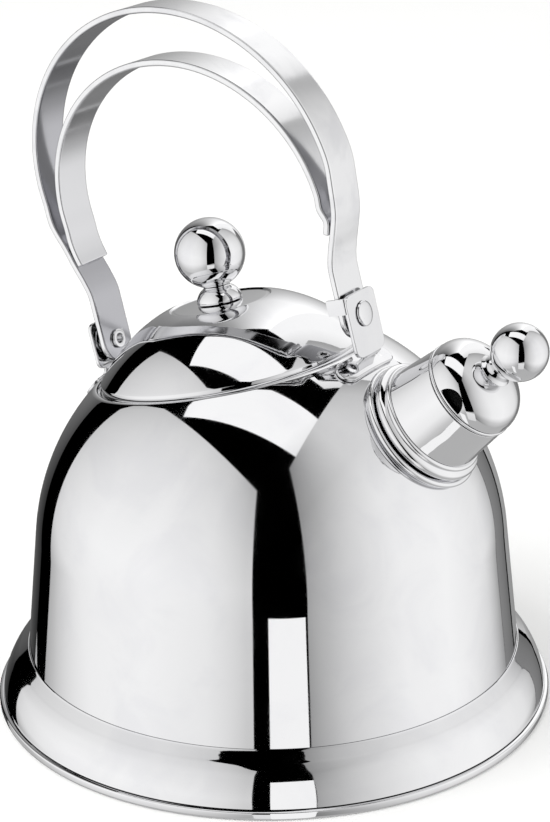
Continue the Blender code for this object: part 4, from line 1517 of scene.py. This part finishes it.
def emission(name: str, columns: Sequence[Point], rows: Sequence[Point]) -> bpy.types.Material:
    """A glow whose tone changes across a card's width and height.

    Args:
        name: the material's name.
        columns: (share of the width, brightness) pairs.
        rows: (share of the height, brightness) pairs.

    Returns:
        The material.
    """
    made = bpy.data.materials.new(name)
    made.use_nodes = True
    tree = made.node_tree
    tree.nodes.clear()
    gain = max(tone for _, tone in rows)
    place = add_node(tree, "ShaderNodeUVMap")
    parts = add_node(tree, "ShaderNodeSeparateXYZ", inputs={"Vector": place.outputs["UV"]})
    dimmed = [(share, tone / gain) for share, tone in rows]
    both = add_node(tree, "ShaderNodeMix", {"data_type": "RGBA", "blend_type": "MULTIPLY"},
                    {0: 1.0, 6: tone_ramp(tree, parts.outputs["X"], columns),
                     7: tone_ramp(tree, parts.outputs["Y"], dimmed)})
    glow = add_node(tree, "ShaderNodeEmission",
                    inputs={"Color": both.outputs[2], "Strength": WHITE_GLOW * gain ** EYE_GAMMA})
    add_node(tree, "ShaderNodeOutputMaterial", inputs={"Surface": glow.outputs["Emission"]})
    return made


@dataclass
class Studio:
    """A pale floor, soft white light, reflectors, and the camera."""

    distance: float = 0.9
    elevation: float = 20.836
    roll: float = 0.94
    lens: float = 102.11
    aim: tuple[float, float] = (0.00217, 0.11606)
    cards: tuple[Card, ...] = (
        Card("main_softbox", -62.0, -130.0, -9.0, -55.0, 60.5,
             ((-130.0, 0.80), (-115.0, 0.87), (-90.0, 0.93), (-60.0, 0.94), (-30.0, 0.9), (-12.0, 0.8)),
             ((-55.0, 0.74), (-38.0, 0.86), (-22.0, 1.0), (0.0, 1.02), (40.0, 0.95), (60.0, 0.86))),
        Card("fill_softbox", 72.0, 15.5, 133.0, -55.0, 70.0,
             ((15.5, 0.62), (25.0, 0.72), (40.0, 0.84), (60.0, 0.93), (85.0, 0.95), (105.0, 0.91),
              (118.0, 0.88), (133.0, 0.7)),
             ((-55.0, 0.72), (-38.0, 0.84), (-22.0, 1.0), (10.0, 1.0), (30.0, 0.97), (50.0, 0.88),
              (70.0, 0.84)), 1.0),
        Card("front_table", 3.0, -9.0, 15.5, -70.0, -22.0, ((3.0, 0.88),),
             ((-70.0, 0.8), (-22.0, 1.0)), 2.9),
        Card("rear_wall", 185.0, 152.0, 215.0, -45.0, 66.0,
             ((155.0, 0.9), (165.0, 0.86), (175.0, 0.76), (185.0, 0.65), (195.0, 0.54), (205.0, 0.44),
              (215.0, 0.3)),
             ((-45.0, 0.5), (-15.0, 0.66), (0.0, 0.92), (10.0, 1.0), (26.0, 1.18), (66.0, 1.18))),
        Card("rear_bridge", 142.0, 126.0, 160.0, 18.0, 66.0, ((126.0, 0.86), (145.0, 0.97)), EVEN, 3.2),
        Card("rear_strip", 142.0, 134.0, 149.0, -45.0, 18.0,
             ((134.0, 0.5), (142.0, 0.46), (149.0, 0.4)), EVEN, 2.8),
    )

    def build(self) -> None:
        """Builds the floor, the backdrop, the light, the cards and the camera."""
        self.build_floor()
        for card in self.cards:
            self.add_card(card.name, card.corners(), card.columns(), card.rows())
        self.build_near_cards()
        self.light_world()
        self.add_camera()

    def build_near_cards(self) -> None:
        """Adds the sheet of paper in front, the overhead softbox and the table."""
        out, along = bearing_vector(7.0) * 0.182, bearing_vector(97.0)
        up = Vector((0.0, 0.0, 1.0))
        left, right, low, high = -0.027, 0.013, -0.15, 0.0515
        paper = [out + along * left + up * low, out + along * right + up * low,
                 out + along * right + up * high, out + along * left + up * high]
        self.add_card("front_paper", paper, ((0.0, 0.95),), EVEN)
        side, across = bearing_vector(-35.0), bearing_vector(55.0)
        near, far, left, right, ceiling = 0.833, -0.395, -1.8, 2.6, 3.0
        roof = [side * near + across * left, side * near + across * right,
                side * far + across * right, side * far + across * left]
        self.add_card("overhead_softbox", [point + up * ceiling for point in roof],
                      ((0.0, 0.97), (0.6, 0.97), (0.8, 0.86), (1.0, 0.8)), EVEN)
        reach, depth = 7.0, -3.2
        table = [Vector((x, y, depth)) for x, y in ((-reach, -reach), (reach, -reach), (reach, reach),
                                                    (-reach, reach))]
        self.add_card("table", table, ((0.0, 0.68),), EVEN)

    def add_card(self, name: str, corners: Sequence[Vector], columns: Sequence[Point],
                 rows: Sequence[Point]) -> None:
        """Adds a card that shows in reflections and casts no light or shadow of its own.

        Args:
            name: the card's name.
            corners: its corners in metres: low left, low right, high right, high left.
            columns: tones across its width.
            rows: tones up its height.
        """
        mesh = bpy.data.meshes.new(name)
        mesh.from_pydata([tuple(corner) for corner in corners], [], [(0, 1, 2, 3)])
        layer = mesh.uv_layers.new(name="UVMap")
        for loop, place in zip(layer.data, ((0, 0), (1, 0), (1, 1), (0, 1))):
            loop.uv = place
        card = bpy.data.objects.new(name, mesh)
        bpy.context.scene.collection.objects.link(card)
        mesh.materials.append(emission(name + "_glow", columns, rows))
        card.visible_camera = False
        card.visible_diffuse = False
        card.visible_shadow = False
        card.visible_transmission = False

    def build_floor(self) -> None:
        """Adds the pale floor and, far off, a backdrop of the same tone."""
        shape = bmesh.new()
        bmesh.ops.create_circle(shape, cap_ends=True, segments=96, radius=9.0)
        floor = self.stage_object("studio_floor", shape)
        made = bpy.data.materials.new("matt_white_paper")
        made.use_nodes = True
        tree = made.node_tree
        shader = tree.nodes["Principled BSDF"]
        place = add_node(tree, "ShaderNodeTexCoord")
        mottle = add_node(tree, "ShaderNodeTexNoise",
                          inputs={"Vector": place.outputs["Object"], "Scale": 3.0, "Detail": 3.0})
        tint = add_node(tree, "ShaderNodeMix", {"data_type": "RGBA"},
                        {0: mottle.outputs["Fac"], 6: linear("F4F4F3"), 7: linear("F7F7F6")})
        tree.links.new(tint.outputs[2], shader.inputs["Base Color"])
        shader.inputs["Roughness"].default_value = 0.9
        shader.inputs["Specular IOR Level"].default_value = 0.1
        floor.data.materials.append(made)
        floor.visible_glossy = False
        shape = bmesh.new()
        bmesh.ops.create_uvsphere(shape, u_segments=48, v_segments=24, radius=8.8)
        backdrop = self.stage_object("backdrop", shape)
        backdrop.data.materials.append(emission("backdrop_glow", ((0.0, 0.93),), EVEN))
        backdrop.visible_glossy = False
        backdrop.visible_diffuse = False
        backdrop.visible_shadow = False
        backdrop.visible_transmission = False

    def stage_object(self, name: str, shape: bmesh.types.BMesh) -> bpy.types.Object:
        """Links a mesh as an object that belongs to the studio.

        Args:
            name: the object's name.
            shape: the mesh in metres; it is freed.

        Returns:
            The object.
        """
        mesh = bpy.data.meshes.new(name)
        shape.to_mesh(mesh)
        shape.free()
        mesh.shade_smooth()
        made = bpy.data.objects.new(name, mesh)
        bpy.context.scene.collection.objects.link(made)
        return made

    def light_world(self) -> None:
        """Even white light for the floor, with one soft key; the steel sees only the cards."""
        scene = bpy.context.scene
        world = bpy.data.worlds.new("studio_air")
        world.use_nodes = True
        world.node_tree.nodes["Background"].inputs["Color"].default_value = (1.0, 1.0, 1.0, 1.0)
        world.node_tree.nodes["Background"].inputs["Strength"].default_value = 0.95
        world.cycles_visibility.glossy = False
        scene.world = world
        data = bpy.data.lights.new("soft_key", "AREA")
        data.shape = "RECTANGLE"
        data.size, data.size_y = 1.6, 1.2
        data.energy = 22.0
        key = bpy.data.objects.new("soft_key", data)
        place = bearing_vector(-60.0) * 1.3 + Vector((0.0, 0.0, 1.9))
        key.matrix_world = Matrix.Translation(place) @ (place.to_track_quat("Z", "Y").to_matrix().to_4x4())
        key.visible_glossy = False
        scene.collection.objects.link(key)
        scene.view_settings.view_transform = "Standard"

    def add_camera(self) -> None:
        """Adds the camera at the object's own viewing angle."""
        turn, rise, roll = (math.radians(a) for a in (FRONT, self.elevation, self.roll))
        away = Vector((math.sin(turn) * math.cos(rise), -math.cos(turn) * math.cos(rise), math.sin(rise)))
        level = Vector((math.cos(turn), math.sin(turn), 0.0))
        upward = Vector((-math.sin(turn) * math.sin(rise), math.cos(turn) * math.sin(rise), math.cos(rise)))
        right = level * math.cos(roll) - upward * math.sin(roll)
        top = upward * math.cos(roll) + level * math.sin(roll)
        target = level * self.aim[0] + Vector((0.0, 0.0, self.aim[1]))
        place = Matrix((right, top, away)).transposed().to_4x4()
        data = bpy.data.cameras.new("camera")
        data.sensor_fit = "AUTO"
        data.sensor_width = 36.0
        data.lens = self.lens
        data.clip_start, data.clip_end = 0.05, 50.0
        camera = bpy.data.objects.new("camera", data)
        camera.matrix_world = Matrix.Translation(target + away * self.distance) @ place
        bpy.context.scene.collection.objects.link(camera)
        bpy.context.scene.camera = camera


def main() -> None:
    """Builds the studio and every assembly, and notes the sizes."""
    logging.basicConfig(level=logging.INFO, format="%(name)s: %(message)s")
    Studio().build()
    shell = Body()
    shell.build()
    Base().build(shell)
    Spout().build()
    Whistle().build()
    Lid().build()
    Handle().build()
    Bracket(name="front", side=1.0, reach=58.5, foot=-15.0, pad_angle=27.5).build()
    Bracket(name="rear", side=-1.0, reach=56.0, foot=-10.0, pad_angle=-53.2).build()


if __name__ == "__main__":
    main()
